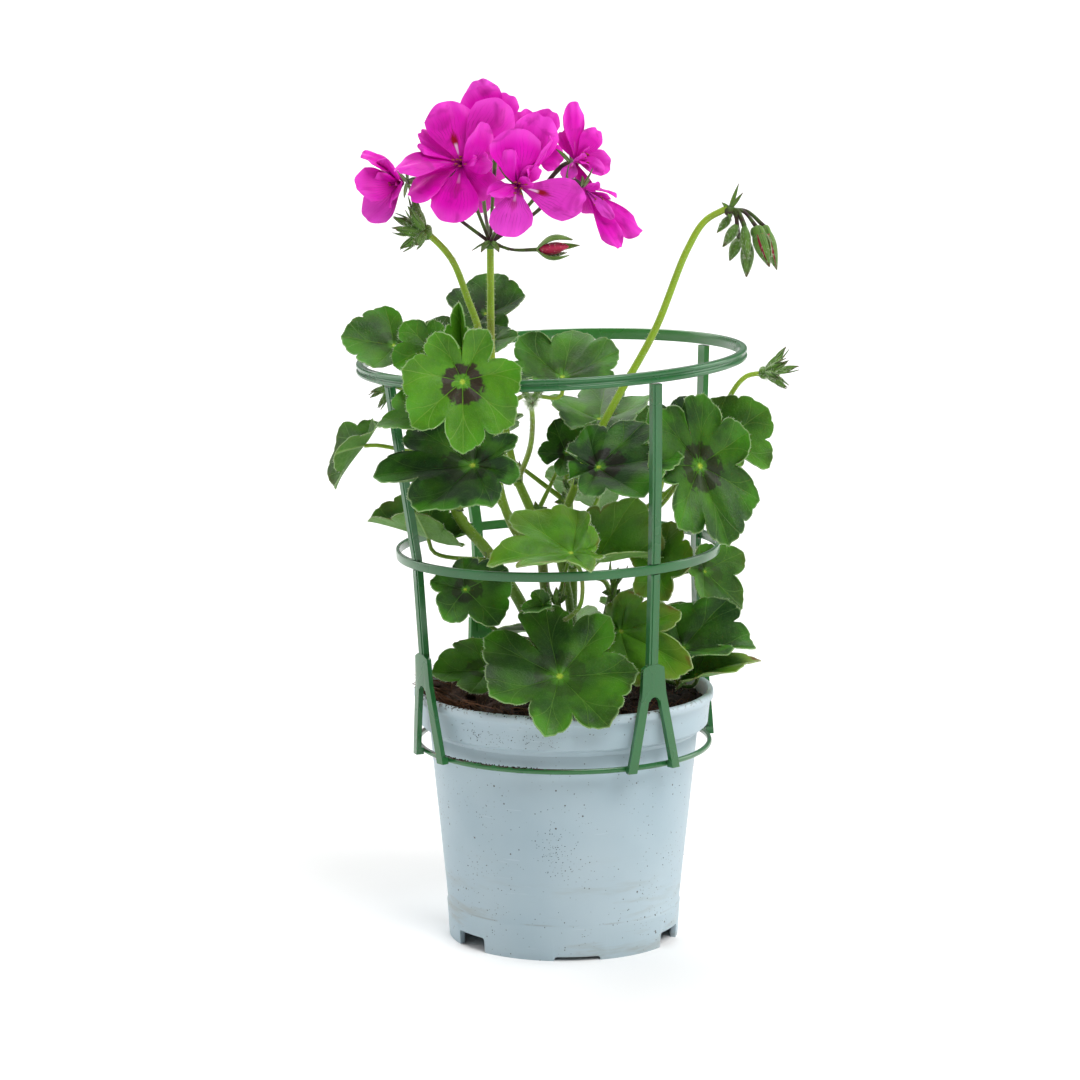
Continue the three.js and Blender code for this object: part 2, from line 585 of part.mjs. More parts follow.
        count: 6 },
      { at: [86, 0, 246.5], heading: [0.95, -0.2, 0.15], spread: 1.1, length: 13.5, radius: 2.2, count: 6 },
    ],
  },
  leafy_stem_low_right: {
    paths: [
      { points: [[14, -6, 88], [14, -6, 106], [17, -8, 135], [22, -10, 158]], radius: 2, steps: 5 },
    ],
    leaves: [
      { from: [19, -9, 145], at: [40, -30, 166], tip: [0.2, 0.1, 0.95], face: [-0.1, -0.9, 0.35],
        radius: 22, base: 0.6, width: 0.75 },
      { from: [20, -10, 152], at: [13, -36, 171], tip: [0.95, 0.15, 0.25], face: [0, -0.6, 0.8], radius: 31,
        base: 0.35, fold: 0.85, via: [[17, -22, 160]] },
      { from: [15, -7, 120], at: [24, -27, 139], tip: [0.75, 0.2, -0.6], face: [-0.35, -0.75, 0.55],
        radius: 38, base: 0.25, width: 0.7, bend: 0.15 },
      { from: [15, -7, 118], at: [51, -10, 128], tip: [1, -0.1, 0.1], face: [-0.1, -0.55, 0.83], radius: 30,
        base: 0.35, fold: 0.65 },
      { from: [14, -6, 110], at: [57, -4, 115], tip: [0.95, -0.05, 0.3], face: [-0.3, -0.6, 0.75],
        radius: 28, base: 0.3, fold: 0.7, via: [[34, -5, 115]] },
      { from: [20, -9, 150], at: [61, 11, 158], tip: [0.7, 0.05, -0.7], face: [0.5, -0.75, 0.45],
        radius: 22, base: 0.4, fold: 0.4 },
    ],
    clusters: [],
  },
  leafy_stem_front: {
    paths: [
      { points: [[0, -14, 88], [0, -14, 106], [-1, -20, 125], [-3, -24, 152]], radius: 1.9, steps: 5 },
    ],
    leaves: [
      { from: [-1, -18, 117], at: [-2, -50, 124], tip: [0.64, -0.57, -0.59], face: [0, -0.72, 0.69],
        radius: 31.5, base: 1.05, bend: 0.2, cup: 0.16 },
      { from: [-3, -23, 143], at: [3, -63, 179], tip: [-1, -0.12, -0.05], face: [0.1, -0.35, 0.93],
        radius: 35, base: 0.3, via: [[2, -42, 148], [7, -54, 157]], bend: 0.3 },
      { from: [-3, -24, 148], at: [-9, -46, 154], tip: [-1, -0.1, -0.1], face: [0, -0.7, 0.7], radius: 9,
        base: 0.3, fold: 0.5 },
      { from: [0, -15, 112], at: [-17, -26, 127], tip: [0, 0, 1], face: [0.2, -0.9, 0.1], radius: 8,
        base: 0.2, fold: 0.8 },
      { from: [-3, -24, 150], at: [4, -20, 171], tip: [0.05, 0, 1], face: [0.4, -0.9, 0], radius: 18,
        base: 0.15, fold: 1.1 },
    ],
    clusters: [],
  },
  leafy_stem_back: {
    paths: [
      { points: [[2, 20, 88], [2, 20, 106], [4, 26, 150], [2, 30, 190], [2, 30, 222]], radius: 2.2,
        steps: 7 },
    ],
    leaves: [
      { from: [2, 29, 185], at: [-35, 40, 213], tip: [-0.5, 0.8, 0.1], face: [-0.3, 0.5, 0.8], radius: 24 },
      { from: [2, 30, 195], at: [24, 50, 214], tip: [0.5, 0.8, -0.2], face: [0.3, 0.45, 0.85], radius: 29 },
      { from: [3, 28, 165], at: [16, 66, 187], tip: [0, 0.9, -0.35], face: [0, 0.5, 0.85], radius: 27 },
      { from: [3, 24, 128], at: [36, 44, 130], tip: [0.55, 0.75, -0.1], face: [0.2, 0.35, 0.9],
        radius: 26 },
      { from: [2, 20, 114], at: [-4, 50, 124], tip: [-0.6, 0.8, 0.1], face: [-0.1, 0.15, 0.97],
        radius: 27 },
    ],
    clusters: [
      { from: [2, 30, 178], at: [3, 14, 191], heading: [0, -0.5, 0.85], spread: 0.9, length: 8, radius: 1.5,
        count: 4 },
    ],
  },
};

const umbel = [-31.5, -4.5, 303];
const even = [18, 90, 162, 234, 306];
const alike = [1, 1, 1, 1, 1];
// Petals point at their angles, counted in degrees from the bloom's right as it faces the viewer.
const blooms = {
  bloom_front_left: {
    at: [-43.3, -28, 338], face: [-0.12, -0.93, 0.3], size: 26,
    angles: [57, 111, 188, 242, 322], lengths: [1.1, 1, 1.15, 1, 0.8],
  },
  bloom_front_middle: {
    at: [-19.9, -44, 331], face: [0.15, -0.97, -0.05], size: 26,
    angles: [57, 112, 212, 268, 340], lengths: [1.15, 0.9, 0.65, 0.95, 1.1],
  },
  bloom_left: {
    at: [-68, -12, 329], face: [-0.8, -0.5, -0.15], size: 23, start: 0.6, spread: 1.35,
    angles: [20, 95, 165, 232, 300], lengths: [0.9, 1, 1, 1.05, 0.9],
  },
  bloom_top: {
    at: [-30, 9, 351], face: [-0.1, 0.3, 0.9], size: 22, start: 0.25, spread: 1,
    angles: even, lengths: alike,
  },
  bloom_right: {
    at: [4.5, 0, 337], face: [0.75, -0.5, 0.3], size: 25, start: 0.55, spread: 1.35,
    angles: [48, 97, 180, 255, 355], lengths: [0.85, 1.05, 0.65, 0.75, 1],
  },
  bloom_lower_right: {
    at: [9, -12, 326], face: [0.75, -0.3, -0.55], size: 28, start: 0.25, spread: 0.9,
    angles: [40, 112, 184, 262, 334], lengths: [0.85, 0.75, 0.8, 1, 1.05],
  },
  bloom_back: {
    at: [-14, 22, 342], face: [0.3, 0.3, 0.85], size: 20, start: 0.4, spread: 1.2,
    angles: even, lengths: alike,
  },
  bloom_rear: { at: [-38, 34, 328], face: [-0.3, 0.9, 0.2], size: 24, angles: even, lengths: alike },
};
const openingBud = {
  foot: [-11, -14, 301], tip: [2, -16, 302.5], radius: 2.6,
  profile: [[0, 0], [0.9, 0.2], [1, 0.45], [0.7, 0.75], [0, 1]],
};

function stemSolids({ paths, leaves, clusters }) {
  const solids = paths.map(({ points, radius, steps }) => tube(points, radius, steps));
  for (const leaf of leaves) solids.push(...leafSolids(leaf));
  for (const cluster of clusters) {
    solids.push(...budCluster(cluster));
    if (cluster.from) solids.push(tube([cluster.from, cluster.at], 0.9, 2, 4));
  }
  return solids;
}

// The flower stalks, bracts and the sepals of the opening bud grow on the flowering stem.
function flowerHeadSolids() {
  const bracts = { points: 6, reach: 8, drop: 3.5, notch: 3, thick: 3, dome: 2 };
  const solids = [sepalStar(umbel, new THREE.Vector3(0, 0, 1), bracts)];
  for (const bloom of Object.values(blooms)) {
    const start = vec(umbel).addScaledVector(vec(bloom.at).sub(vec(umbel)).normalize(), 0.8);
    solids.push(...calyxSolids(bloom, start.toArray()));
  }
  const { foot, tip } = openingBud;
  const along = vec(tip).sub(vec(foot)).normalize();
  const seat = vec(foot).addScaledVector(along, -gap - 0.35);
  solids.push(tube([umbel, [-22, -10, 300.5], seat.toArray()], 0.8, 3, 4));
  for (let i = 0; i < 4; i++) {
    const turn = (i / 4) * 2 * Math.PI + 0.5;
    const side = new THREE.Vector3(0, Math.cos(turn), Math.sin(turn));
    const place = (far, out) => vec(foot).addScaledVector(along, far).addScaledVector(side, out).toArray();
    solids.push(tube([seat.toArray(), place(2.2, 3.4), place(7, 4.2), place(14, 5)], 0.55, 3, 3));
  }
  return solids;
}

// A hole of the soil follows the foot of each stem with a small clearance.
function rootHole({ paths }) {
  const { points, radius } = paths[0];
  const [[x, y, z]] = points;
  const hole = new THREE.CylinderGeometry(radius + 1, radius + 1, 60, 7).rotateX(Math.PI / 2);
  return toSolid(hole.translate(x, y, z - gap + 30));
}

const geranium = new THREE.Group();
geranium.name = 'potted_geranium';
geranium.add(buildPot(), buildSoil(Object.values(stems).map(rootHole)), buildSupport());
for (const [name, stem] of Object.entries(stems)) {
  const solids = stemSolids(stem);
  if (name === 'leafy_stem_flowering') solids.push(...flowerHeadSolids());
  geranium.add(namedMesh(name, fuse(solids), foliage));
}
for (const [name, bloom] of Object.entries(blooms)) geranium.add(namedMesh(name, bloomSolid(bloom), petal));
const { foot, tip, radius } = openingBud;
geranium.add(namedMesh('opening_bud', budSolid(foot, tip, radius, openingBud.profile), budPetal));

export default geranium;
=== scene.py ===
# Potted geranium: the looks of the pot, its soil, the ring support, the leafy stems and the flower head.
import bpy
import math
import random
from functools import partial
from mathutils import Matrix, Vector
from mathutils.noise import fractal


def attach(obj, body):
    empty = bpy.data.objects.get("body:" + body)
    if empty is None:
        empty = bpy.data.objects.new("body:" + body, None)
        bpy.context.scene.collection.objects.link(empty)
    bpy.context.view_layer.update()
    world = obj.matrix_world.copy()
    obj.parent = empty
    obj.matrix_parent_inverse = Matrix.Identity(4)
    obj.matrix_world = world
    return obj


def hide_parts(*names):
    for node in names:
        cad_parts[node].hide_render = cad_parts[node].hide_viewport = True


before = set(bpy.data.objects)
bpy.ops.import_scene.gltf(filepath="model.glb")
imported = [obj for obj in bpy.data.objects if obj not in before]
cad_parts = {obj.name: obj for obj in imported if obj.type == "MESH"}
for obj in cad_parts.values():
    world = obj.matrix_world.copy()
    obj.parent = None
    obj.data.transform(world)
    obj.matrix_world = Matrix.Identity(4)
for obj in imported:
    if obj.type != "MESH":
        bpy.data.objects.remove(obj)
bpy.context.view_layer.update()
print("frame loaded")

mm = 0.001
fullTurn = 2 * math.pi


def deselectAll():
    if bpy.context.object and bpy.context.object.mode != "OBJECT":
        bpy.ops.object.mode_set(mode="OBJECT")
    bpy.ops.object.select_all(action="DESELECT")


def pick(*pieces):
    deselectAll()
    for piece in pieces:
        piece.select_set(True)
    bpy.context.view_layer.objects.active = pieces[0]
    return pieces[0]


def applyModifier(piece, kind, **settings):
    pick(piece)
    modifier = piece.modifiers.new(kind.title(), kind)
    for key, value in settings.items():
        setattr(modifier, key, value)
    bpy.ops.object.modifier_apply(modifier=modifier.name)


def joined(name, pieces):
    pick(*pieces)
    if len(pieces) > 1:
        bpy.ops.object.join()
    piece = bpy.context.object
    piece.name = name
    piece.data.name = name
    return piece


def smooth(piece, angle=40):
    pick(piece)
    bpy.ops.object.shade_smooth_by_angle(angle=math.radians(angle))


def clean(piece, inside=False, distance=1e-6):
    pick(piece)
    bpy.ops.object.mode_set(mode="EDIT")
    bpy.ops.mesh.select_all(action="SELECT")
    bpy.ops.mesh.remove_doubles(threshold=distance)
    bpy.ops.mesh.normals_make_consistent(inside=inside)
    bpy.ops.object.mode_set(mode="OBJECT")


def standsFor(piece, slot, *nodes):
    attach(piece, "root")
    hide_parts(*nodes)


# Colours are sRGB codes. On Object coordinates a scale of 500 gives grains of 2 mm. The leaf's own map,
# bladeFlat, counts in centimetres, so a scale of 20 gives grains of 0.5 mm there.
def linear(code):
    parts = [int(code[i:i + 2], 16) / 255 for i in (1, 3, 5)]
    return [c / 12.92 if c <= 0.04045 else ((c + 0.055) / 1.055) ** 2.4 for c in parts] + [1.0]


# What nodes of a kind are set to when a material doesn't say otherwise.
usualSettings = {
    "Math": {"operation": "MULTIPLY"}, "MapRange": {"interpolation_type": "SMOOTHSTEP"},
    "Mix": {"data_type": "RGBA"},
}


def addNode(tree, kind, *values, out=None, **named):
    # Values go to the node's open sockets in turn. A name with a capital is a socket, any other is a setting.
    node = tree.nodes.new("ShaderNode" + kind)
    for key, value in {**usualSettings.get(kind, {}), **named}.items():
        if key[0].islower():
            setattr(node, key, value)
    sockets = list(zip([socket for socket in node.inputs if socket.enabled], values))
    sockets += [(node.inputs[key.replace("_", " ")], value) for key,
            value in named.items() if key[0].isupper()]
    for socket, value in sockets:
        if isinstance(value, bpy.types.NodeSocket):
            tree.links.new(value, socket)
        else:
            socket.default_value = linear(value) if isinstance(value, str) else value
    return node.outputs[out] if out else next(socket for socket in node.outputs if socket.enabled)


def patches(add, place, scale, detail, low, high, *ends):
    # Soft-edged patches, where a noise lies between two heights.
    return add("MapRange", add("TexNoise", place, scale, detail), low, high, *ends)


def tinted(add, base, colour, *masks):
    # Lays a colour over the base, as far as all its masks let it.
    amount = masks[0]
    for mask in masks[1:]:
        amount = add("Math", amount, mask)
    return add("Mix", amount, base, colour)


def distanceFromWhole(add, value):
    shifted = add("Math", add("Math", value, 0.5, operation="ADD"), operation="FRACT")
    return add("Math", add("Math", shifted, 0.5, operation="SUBTRACT"), operation="ABSOLUTE")


def newMaterial(name, **constants):
    material = bpy.data.materials.new(name)
    material.use_nodes = True
    for key, value in constants.items():
        socket = material.node_tree.nodes["Principled BSDF"].inputs[key.replace("_", " ")]
        socket.default_value = linear(value) if isinstance(value, str) else value
    return material, partial(addNode, material.node_tree)


def finished(material, colour, roughness, height=None, relief=0.3, depth=0.2 * mm):
    tree = material.node_tree
    shader = tree.nodes["Principled BSDF"]
    tree.links.new(colour, shader.inputs["Base Color"])
    if isinstance(roughness, bpy.types.NodeSocket):
        tree.links.new(roughness, shader.inputs["Roughness"])
    else:
        shader.inputs["Roughness"].default_value = roughness
    if height is not None:
        bump = addNode(tree, "Bump", Strength=relief, Distance=depth, Height=height)
        tree.links.new(bump, shader.inputs["Normal"])
    return material


# Injection-moulded polypropylene, thin and satin, with handling scuffs and specks of peat on it.
def pottedPlastic():
    material, add = newMaterial("moulded_polypropylene_blue_grey", IOR=1.49, Subsurface_Weight=0.03)
    place = add("TexCoord", out="Object")
    height = add("SeparateXYZ", place, out="Z")
    cloudy = add("TexNoise", place, 22, 4)
    base = add("Mix", add("MapRange", cloudy, 0.2, 0.8), "#9aafb9", "#a9bbc3")
    # Painted highlight: the roll of the lip is painted lighter, where the light from above falls on it.
    base = tinted(add, base, "#c3d0d6", add("MapRange", height, 0.105, 0.1085, 0, 0.4))
    base = tinted(add, base, "#c0ced3", patches(add, place, 9, 3, 0.4, 0.7, 0, 0.3))
    # Dust sits low on the wall, in faint level bands.
    squashed = add("Mapping", place, Scale=(16, 16, 110))
    bands = add("TexNoise", squashed, 1, 5, 0.65)
    low = add("Math", add("MapRange", height, 0.05, 0.012), add("MapRange", bands, 0.5, 0.7))
    base = tinted(add, base, "#8d8470", low, 0.45)
    # Specks of three sizes, gathered in places.
    gathered = patches(add, place, 38, 3, 0.46, 0.68)
    for scale, size, most in ((260, 0.14, 0.9), (480, 0.17, 0.8), (800, 0.2, 0.6)):
        speck = add("TexVoronoi", feature="F1", Vector=place, Scale=scale).node
        chosen = add("SeparateXYZ", speck.outputs["Color"], out="X")
        rare = add("Math", chosen, add("Math", add("Math", gathered, 0.4), 0.07, operation="ADD"),
                operation="LESS_THAN")
        dot = add("Math", add("MapRange", speck.outputs["Distance"], size, size * 0.6), rare)
        base = tinted(add, base, "#3f3128", dot, most)
    # Peat clings to the rim.
    crumbs = patches(add, place, 420, 3, 0.55, 0.62)
    crumbs = add("Math", crumbs, add("MapRange", height, 0.1072, 0.1088))
    crumbs = add("Math", crumbs, patches(add, place, 30, 2, 0.36, 0.55))
    base = tinted(add, base, "#4a3524", crumbs, 0.85)
    scratchPlace = add("Mapping", place, Scale=(60, 60, 900), Rotation=(0.25, 0.1, 0))
    scratch = patches(add, scratchPlace, 1, 2, 0.71, 0.75)
    base = tinted(add, base, "#c2ced6", scratch, 0.3)
    # A worn line at the joint of the foot, smudged with soil.
    joint = add("Math", add("MapRange", height, 0.0151, 0.0155), add("MapRange", height, 0.016, 0.0157))
    joint = add("Math", joint, patches(add, place, 90, 4, 0.42, 0.6))
    base = tinted(add, base, "#7c7468", joint, 0.35)
    rough = add("Math", add("Math", cloudy, 0.16), 0.34, operation="ADD")
    fine = add("Math", add("TexNoise", place, 900, 2), add("Math", scratch, 0.6), operation="ADD")
    return finished(material, base, rough, fine, 0.25, 0.05 * mm)


# Moulded green polypropylene of the support, semi-gloss and slightly see-through at its edges.
def supportPlastic():
    material, add = newMaterial("moulded_polypropylene_green", IOR=1.49, Subsurface_Weight=0.2,
            Subsurface_Scale=0.002, Coat_Weight=0.25, Coat_Roughness=0.08)
    place = add("TexCoord", out="Object")
    cloudy = add("TexNoise", place, 40, 3)
    base = add("Mix", cloudy, "#1f5a2d", "#31743e")
    parts = add("SeparateXYZ", place).node
    # Painted light: parts towards the back are painted a brighter yellow-green, as if lit through from
    # behind.
    base = tinted(add, base, "#4c9f38", add("MapRange", parts.outputs["Y"], 0.01, 0.06, 0, 0.4))
    # Soil lies along the top of the lowest ring.
    upward = add("SeparateXYZ", add("NewGeometry", out="Normal"), out="Z")
    spill = add("Math", add("MapRange", upward, 0.3, 0.7),
            add("MapRange", parts.outputs["Z"], 0.0885, 0.0878))
    spill = add("Math", spill, add("MapRange", parts.outputs["X"], 0.02, -0.01))
    spill = add("Math", spill, patches(add, place, 500, 3, 0.42, 0.52))
    base = tinted(add, base, "#3a2417", spill)
    dust = patches(add, place, 1500, 2, 0.64, 0.74)
    base = tinted(add, base, "#729a76", dust, 0.2)
    rough = add("Math", add("Math", cloudy, 0.18), 0.2, operation="ADD")
    return finished(material, base, rough, add("TexNoise", place, 500, 2), 0.15, 0.05 * mm)


# Moist peat: short fibres and crumbs, nearly black where wet and rust brown where dry.
def peatSoil():
    material, add = newMaterial("moist_peat", IOR=1.4)
    place = add("TexCoord", out="Object")
    clump = add("TexNoise", place, 120, 6, 0.65)
    stretched = add("Mapping", place, Scale=(900, 220, 400), Rotation=(0.3, 0.5, 0.8))
    strands = add("TexNoise", stretched, 1, 3, 0.6, 2, 1.2)
    base = add("Mix", add("MapRange", clump, 0.35, 0.65), "#0d0806", "#2d1a0f")
    left = add("SeparateXYZ", place, out="X")
    base = tinted(add, base, "#4a2c1a", add("MapRange", left, 0.0, -0.045), clump)
    base = tinted(add, base, "#5a3318", add("MapRange", strands, 0.58, 0.7), 0.8)
    grit = patches(add, place, 700, 2, 0.68, 0.74)
    base = tinted(add, base, "#8a6f50", grit, 0.6)
    return finished(material, base, 0.92, add("Math", clump, strands, operation="ADD"), 1.0, 0.8 * mm)


# Dry peat moss fibres and root hairs.
def peatFibre():
    material, add = newMaterial("peat_fibre")
    base = add("Mix", add("TexNoise", add("TexCoord", out="Object"), 300, 2), "#24130a", "#7a4a24")
    return finished(material, base, 0.85)


# Live leaf, upper face: velvety green, with thin pale veins that fork towards the rim and a broken dark zone
# round its yellow-green middle. bladePolar runs from the middle to the rim and counts the lobes round it.
def leafUpper():
    material, add = newMaterial("live_leaf_upper_face", IOR=1.42, Sheen_Weight=0.06, Sheen_Roughness=0.35,
            Sheen_Tint="#bfe08c", Specular_IOR_Level=0.38, Subsurface_Weight=0.1, Subsurface_Scale=0.0015)
    polar = add("SeparateXYZ", add("UVMap", uv_map="bladePolar")).node
    rho, phase = (polar.outputs["X"], polar.outputs["Y"])
    flat = add("UVMap", uv_map="bladeFlat")
    tone, zone, age, gloss = [add("Attribute", attribute_name=name, out="Fac")
            for name in ("tone", "zone", "age", "gloss")]
    arc = add("Math", rho, add("Attribute", attribute_name="bladeSize", out="Fac"))
    wander = add("Math", add("Math", add("TexNoise", flat, 0.8, 2), 0.5, operation="SUBTRACT"), 0.06)
    fromVein = distanceFromWhole(add, add("Math", phase, wander, operation="ADD"))
    # The veins thin out towards the rim; their forks leave them at half the radius.
    width = add("Math", 0.36, add("Math", rho, 0.2), operation="SUBTRACT")
    mainVein = add("Math", 1.0, add("Math", add("Math", fromVein, arc), width, operation="DIVIDE"),
            operation="SUBTRACT", use_clamp=True)
    forkAt = add("MapRange", rho, 0.42, 1.1, 0, 0.3)
    forkFar = add("Math", add("Math", fromVein, forkAt, operation="SUBTRACT"), operation="ABSOLUTE")
    fork = add("Math", 1.0, add("Math", add("Math", forkFar, arc), 0.22, operation="DIVIDE"),
            operation="SUBTRACT", use_clamp=True)
    fork = add("Math", fork, add("MapRange", rho, 0.42, 0.6))
    chevron = add("Math", add("Math", rho, 6.5), add("Math", fromVein, 5.0), operation="SUBTRACT")
    chevron = add("Math", chevron, add("Math", wander, 14.0), operation="ADD")
    side = add("MapRange", distanceFromWhole(add, chevron), 0.07, 0.0)
    side = add("Math", side, patches(add, flat, 1.7, 1, 0.4, 0.6))
    net = add("TexVoronoi", feature="DISTANCE_TO_EDGE", Vector=flat, Scale=6.0).node
    veins = add("Math", mainVein, add("Math", fork, 0.6), operation="MAXIMUM")
    veins = add("Math", veins, add("Math", side, 0.16), operation="MAXIMUM")
    cloudy = add("TexNoise", flat, 0.9, 5, 0.6)
    patchy = add("Math", tone, add("Math",
            add("Math", add("TexNoise", flat, 0.6, 4), 0.5, operation="SUBTRACT"), 1.3), operation="ADD",
            use_clamp=True)
    base = add("Mix", patchy, add("Mix", cloudy, "#082407", "#19480f"),
            add("Mix", cloudy, "#2f7409", "#72b316"))
    margin = add("Math", add("MapRange", rho, 0.6, 0.98),
            patches(add, flat, 0.6, 3, 0.42, 0.62))
    base = tinted(add, base, "#428f0c", margin, 0.55)
    # Velvet: short hairs catch the light as fine pale grains.
    grain = patches(add, flat, 36, 2, 0.54, 0.74)
    base = tinted(add, base, "#8db878", grain, 0.18)
    tuft = patches(add, flat, 15, 3, 0.56, 0.72)
    base = tinted(add, base, "#9cc48a", tuft, 0.09)
    base = tinted(add, base, "#5e9c2b", add("MapRange", rho, 0.2, 0.06, 0, 0.55))
    cell = add("TexVoronoi", feature="F1", Vector=flat, Scale=3.2).node
    cellShade = add("SeparateXYZ", cell.outputs["Color"], out="X")
    torn = add("Math", add("Math", add("Math", cellShade, 0.5, operation="SUBTRACT"), 0.1),
            add("Math", add("Math", add("TexNoise", flat, 5, 3), 0.5, operation="SUBTRACT"), 0.16),
            operation="ADD")
    band = add("Math", rho, torn, operation="ADD")
    dark = add("Math", add("MapRange", band, 0.13, 0.17), add("MapRange", band, 0.42, 0.36))
    dark = add("Math", dark, add("MapRange", add("Math", fromVein, arc), 0.15, 0.5))
    dark = add("Math", dark, zone)
    base = tinted(add, base, add("Mix", tone, "#130b0e", "#35161f"), dark, 0.93)
    base = tinted(add, base, add("Mix", tone, "#5c8f3d", "#a8cf55"), veins, 0.6)
    base = tinted(add, base, "#b5cc3e", add("MapRange", rho, 0.07, 0.02, 0, 0.85))
    blotchy = add("Math", rho, add("Math",
            add("Math", add("TexNoise", flat, 1.1, 4), 0.5, operation="SUBTRACT"), 0.5), operation="ADD")
    yellowing = add("Math", add("MapRange", blotchy, 0.6, 1.05), age)
    base = tinted(add, base, "#8f9a2c", yellowing, 0.6)
    burnt = add("Math", add("MapRange", blotchy, 0.97, 1.04), age)
    base = tinted(add, base, "#6d2a18", burnt)
    base = tinted(add, base, "#a6c888", add("MapRange", rho, 0.98, 1.0, 0, 0.4))
    rough = add("Math", add("Math", add("Math", cloudy, 0.16), 0.46, operation="ADD"),
            add("Math", gloss, 0.16), operation="SUBTRACT")
    height = add("Math", add("Math", net.outputs["Distance"], 1.2), add("Math", veins, 1.2),
            operation="SUBTRACT")
    height = add("Math", height, add("Math", add("TexNoise", flat, 22, 3), 0.7), operation="ADD")
    return finished(material, base, rough, height, 0.5, 0.3 * mm)


# Live leaf, lower face: paler, matte and hairy, with its veins standing out.
def leafUnder():
    material, add = newMaterial("live_leaf_lower_face", IOR=1.4, Specular_IOR_Level=0.35,
            Sheen_Weight=0.18, Sheen_Roughness=0.4, Sheen_Tint="#dcebc8", Subsurface_Weight=0.1,
            Subsurface_Scale=0.0015)
    polar = add("SeparateXYZ", add("UVMap", uv_map="bladePolar")).node
    rho, phase = (polar.outputs["X"], polar.outputs["Y"])
    flat = add("UVMap", uv_map="bladeFlat")
    tone = add("Attribute", attribute_name="tone", out="Fac")
    arc = add("Math", rho, add("Attribute", attribute_name="bladeSize", out="Fac"))
    off = add("Math", distanceFromWhole(add, phase), arc)
    mainVein = add("Math", 1.0, add("Math", off, 0.7, operation="DIVIDE"), operation="SUBTRACT",
            use_clamp=True)
    net = add("TexVoronoi", feature="DISTANCE_TO_EDGE", Vector=flat, Scale=4.0).node
    cloudy = add("TexNoise", flat, 1.4, 4)
    base = add("Mix", tone, add("Mix", cloudy, "#29501a", "#42742a"),
            add("Mix", cloudy, "#558c26", "#7db43a"))
    grain = patches(add, flat, 34, 2, 0.52, 0.72)
    base = tinted(add, base, "#a9c296", grain, 0.3)
    base = tinted(add, base, "#9fc070", mainVein, 0.6)
    base = tinted(add, base, "#8fb572", add("MapRange", net.outputs["Distance"], 0.1, 0.0), 0.18)
    burnt = add("Math", add("MapRange", rho, 0.95, 1.0), add("Attribute", attribute_name="age", out="Fac"))
    base = tinted(add, base, "#6d2f1a", burnt)
    height = add("Math", add("Math", mainVein, 2.0), net.outputs["Distance"], operation="SUBTRACT")
    height = add("Math", height, add("Math", add("TexNoise", flat, 22, 3), 0.5), operation="ADD")
    return finished(material, base, 0.6, height, 0.5, 0.3 * mm)


# Soft green stalk: ribbed lengthwise, downy, flushed with brown on its lower lengths.
def stalkGreen():
    material, add = newMaterial("live_green_stalk", IOR=1.4, Sheen_Weight=0.3, Sheen_Roughness=0.35,
            Sheen_Tint="#e6f2cf", Subsurface_Weight=0.12, Subsurface_Scale=0.0015)
    place = add("TexCoord", out="Object")
    height = add("SeparateXYZ", place, out="Z")
    cloudy = add("TexNoise", place, 60, 4)
    low, high = (add("Mix", cloudy, "#2c5014", "#4a7820"), add("Mix", cloudy, "#789f20", "#a3c22e"))
    base = add("Mix", add("MapRange", height, 0.1, 0.27), low, high)
    flush = patches(add, place, 45, 4, 0.48, 0.66)
    base = tinted(add, base, "#6b4a33", flush, 0.4)
    grain = patches(add, place, 2600, 2, 0.56, 0.72)
    base = tinted(add, base, "#c8d8a4", grain, 0.22)
    ribs = add("Mapping", place, Scale=(1500, 1500, 120))
    return finished(material, base, 0.42, add("TexNoise", ribs, 1, 2), 0.4, 0.12 * mm)


# Flower stalks, bracts and calyx: green flushed with purple brown.
def stalkDark():
    material, add = newMaterial("live_flower_stalk", IOR=1.4, Sheen_Weight=0.3, Sheen_Roughness=0.4,
            Sheen_Tint="#e8cfd8", Subsurface_Weight=0.08, Subsurface_Scale=0.0015)
    place = add("TexCoord", out="Object")
    base = add("Mix", patches(add, place, 140, 3, 0.38, 0.62), "#351620", "#44601f")
    return finished(material, base, 0.45, add("TexNoise", place, 900, 2), 0.3, 0.1 * mm)


# Sepals of the closed buds: downy, green, purple at their points.
def budSkin():
    material, add = newMaterial("live_bud_sepal", IOR=1.4, Sheen_Weight=0.45, Sheen_Roughness=0.4,
            Sheen_Tint="#e9f2d6", Subsurface_Weight=0.1, Subsurface_Scale=0.0015)
    along = add("SeparateXYZ", add("UVMap", uv_map="budMap")).node
    place = add("TexCoord", out="Object")
    stripes = add("Math", add("Math", add("Math", along.outputs["X"], 5 * math.pi), operation="SINE"),
            operation="ABSOLUTE")
    base = add("Mix", add("TexNoise", place, 220, 3), "#3f6a22", "#6f973a")
    base = tinted(add, base, "#26391a", add("MapRange", stripes, 0.25, 0.0), 0.7)
    tip = add("Math", along.outputs["Y"],
            add("Math", add("Math", add("TexNoise", place, 300, 2), 0.5, operation="SUBTRACT"), 0.5),
            operation="ADD")
    base = tinted(add, base, "#5d2030", add("MapRange", tip, 0.8, 1.05, 0, 0.7))
    return finished(material, base, 0.5,
            add("Math", stripes, add("TexNoise", place, 1200, 2), operation="ADD"), 0.6, 0.2 * mm)


# Fine white hairs of the leaf rims, stalks and buds.
def downHair():
    material, add = newMaterial("live_plant_hair", IOR=1.4)
    base = add("Mix", add("TexNoise", add("TexCoord", out="Object"), 400, 2), "#c9d6b4", "#eef5e2")
    return finished(material, base, 0.5)


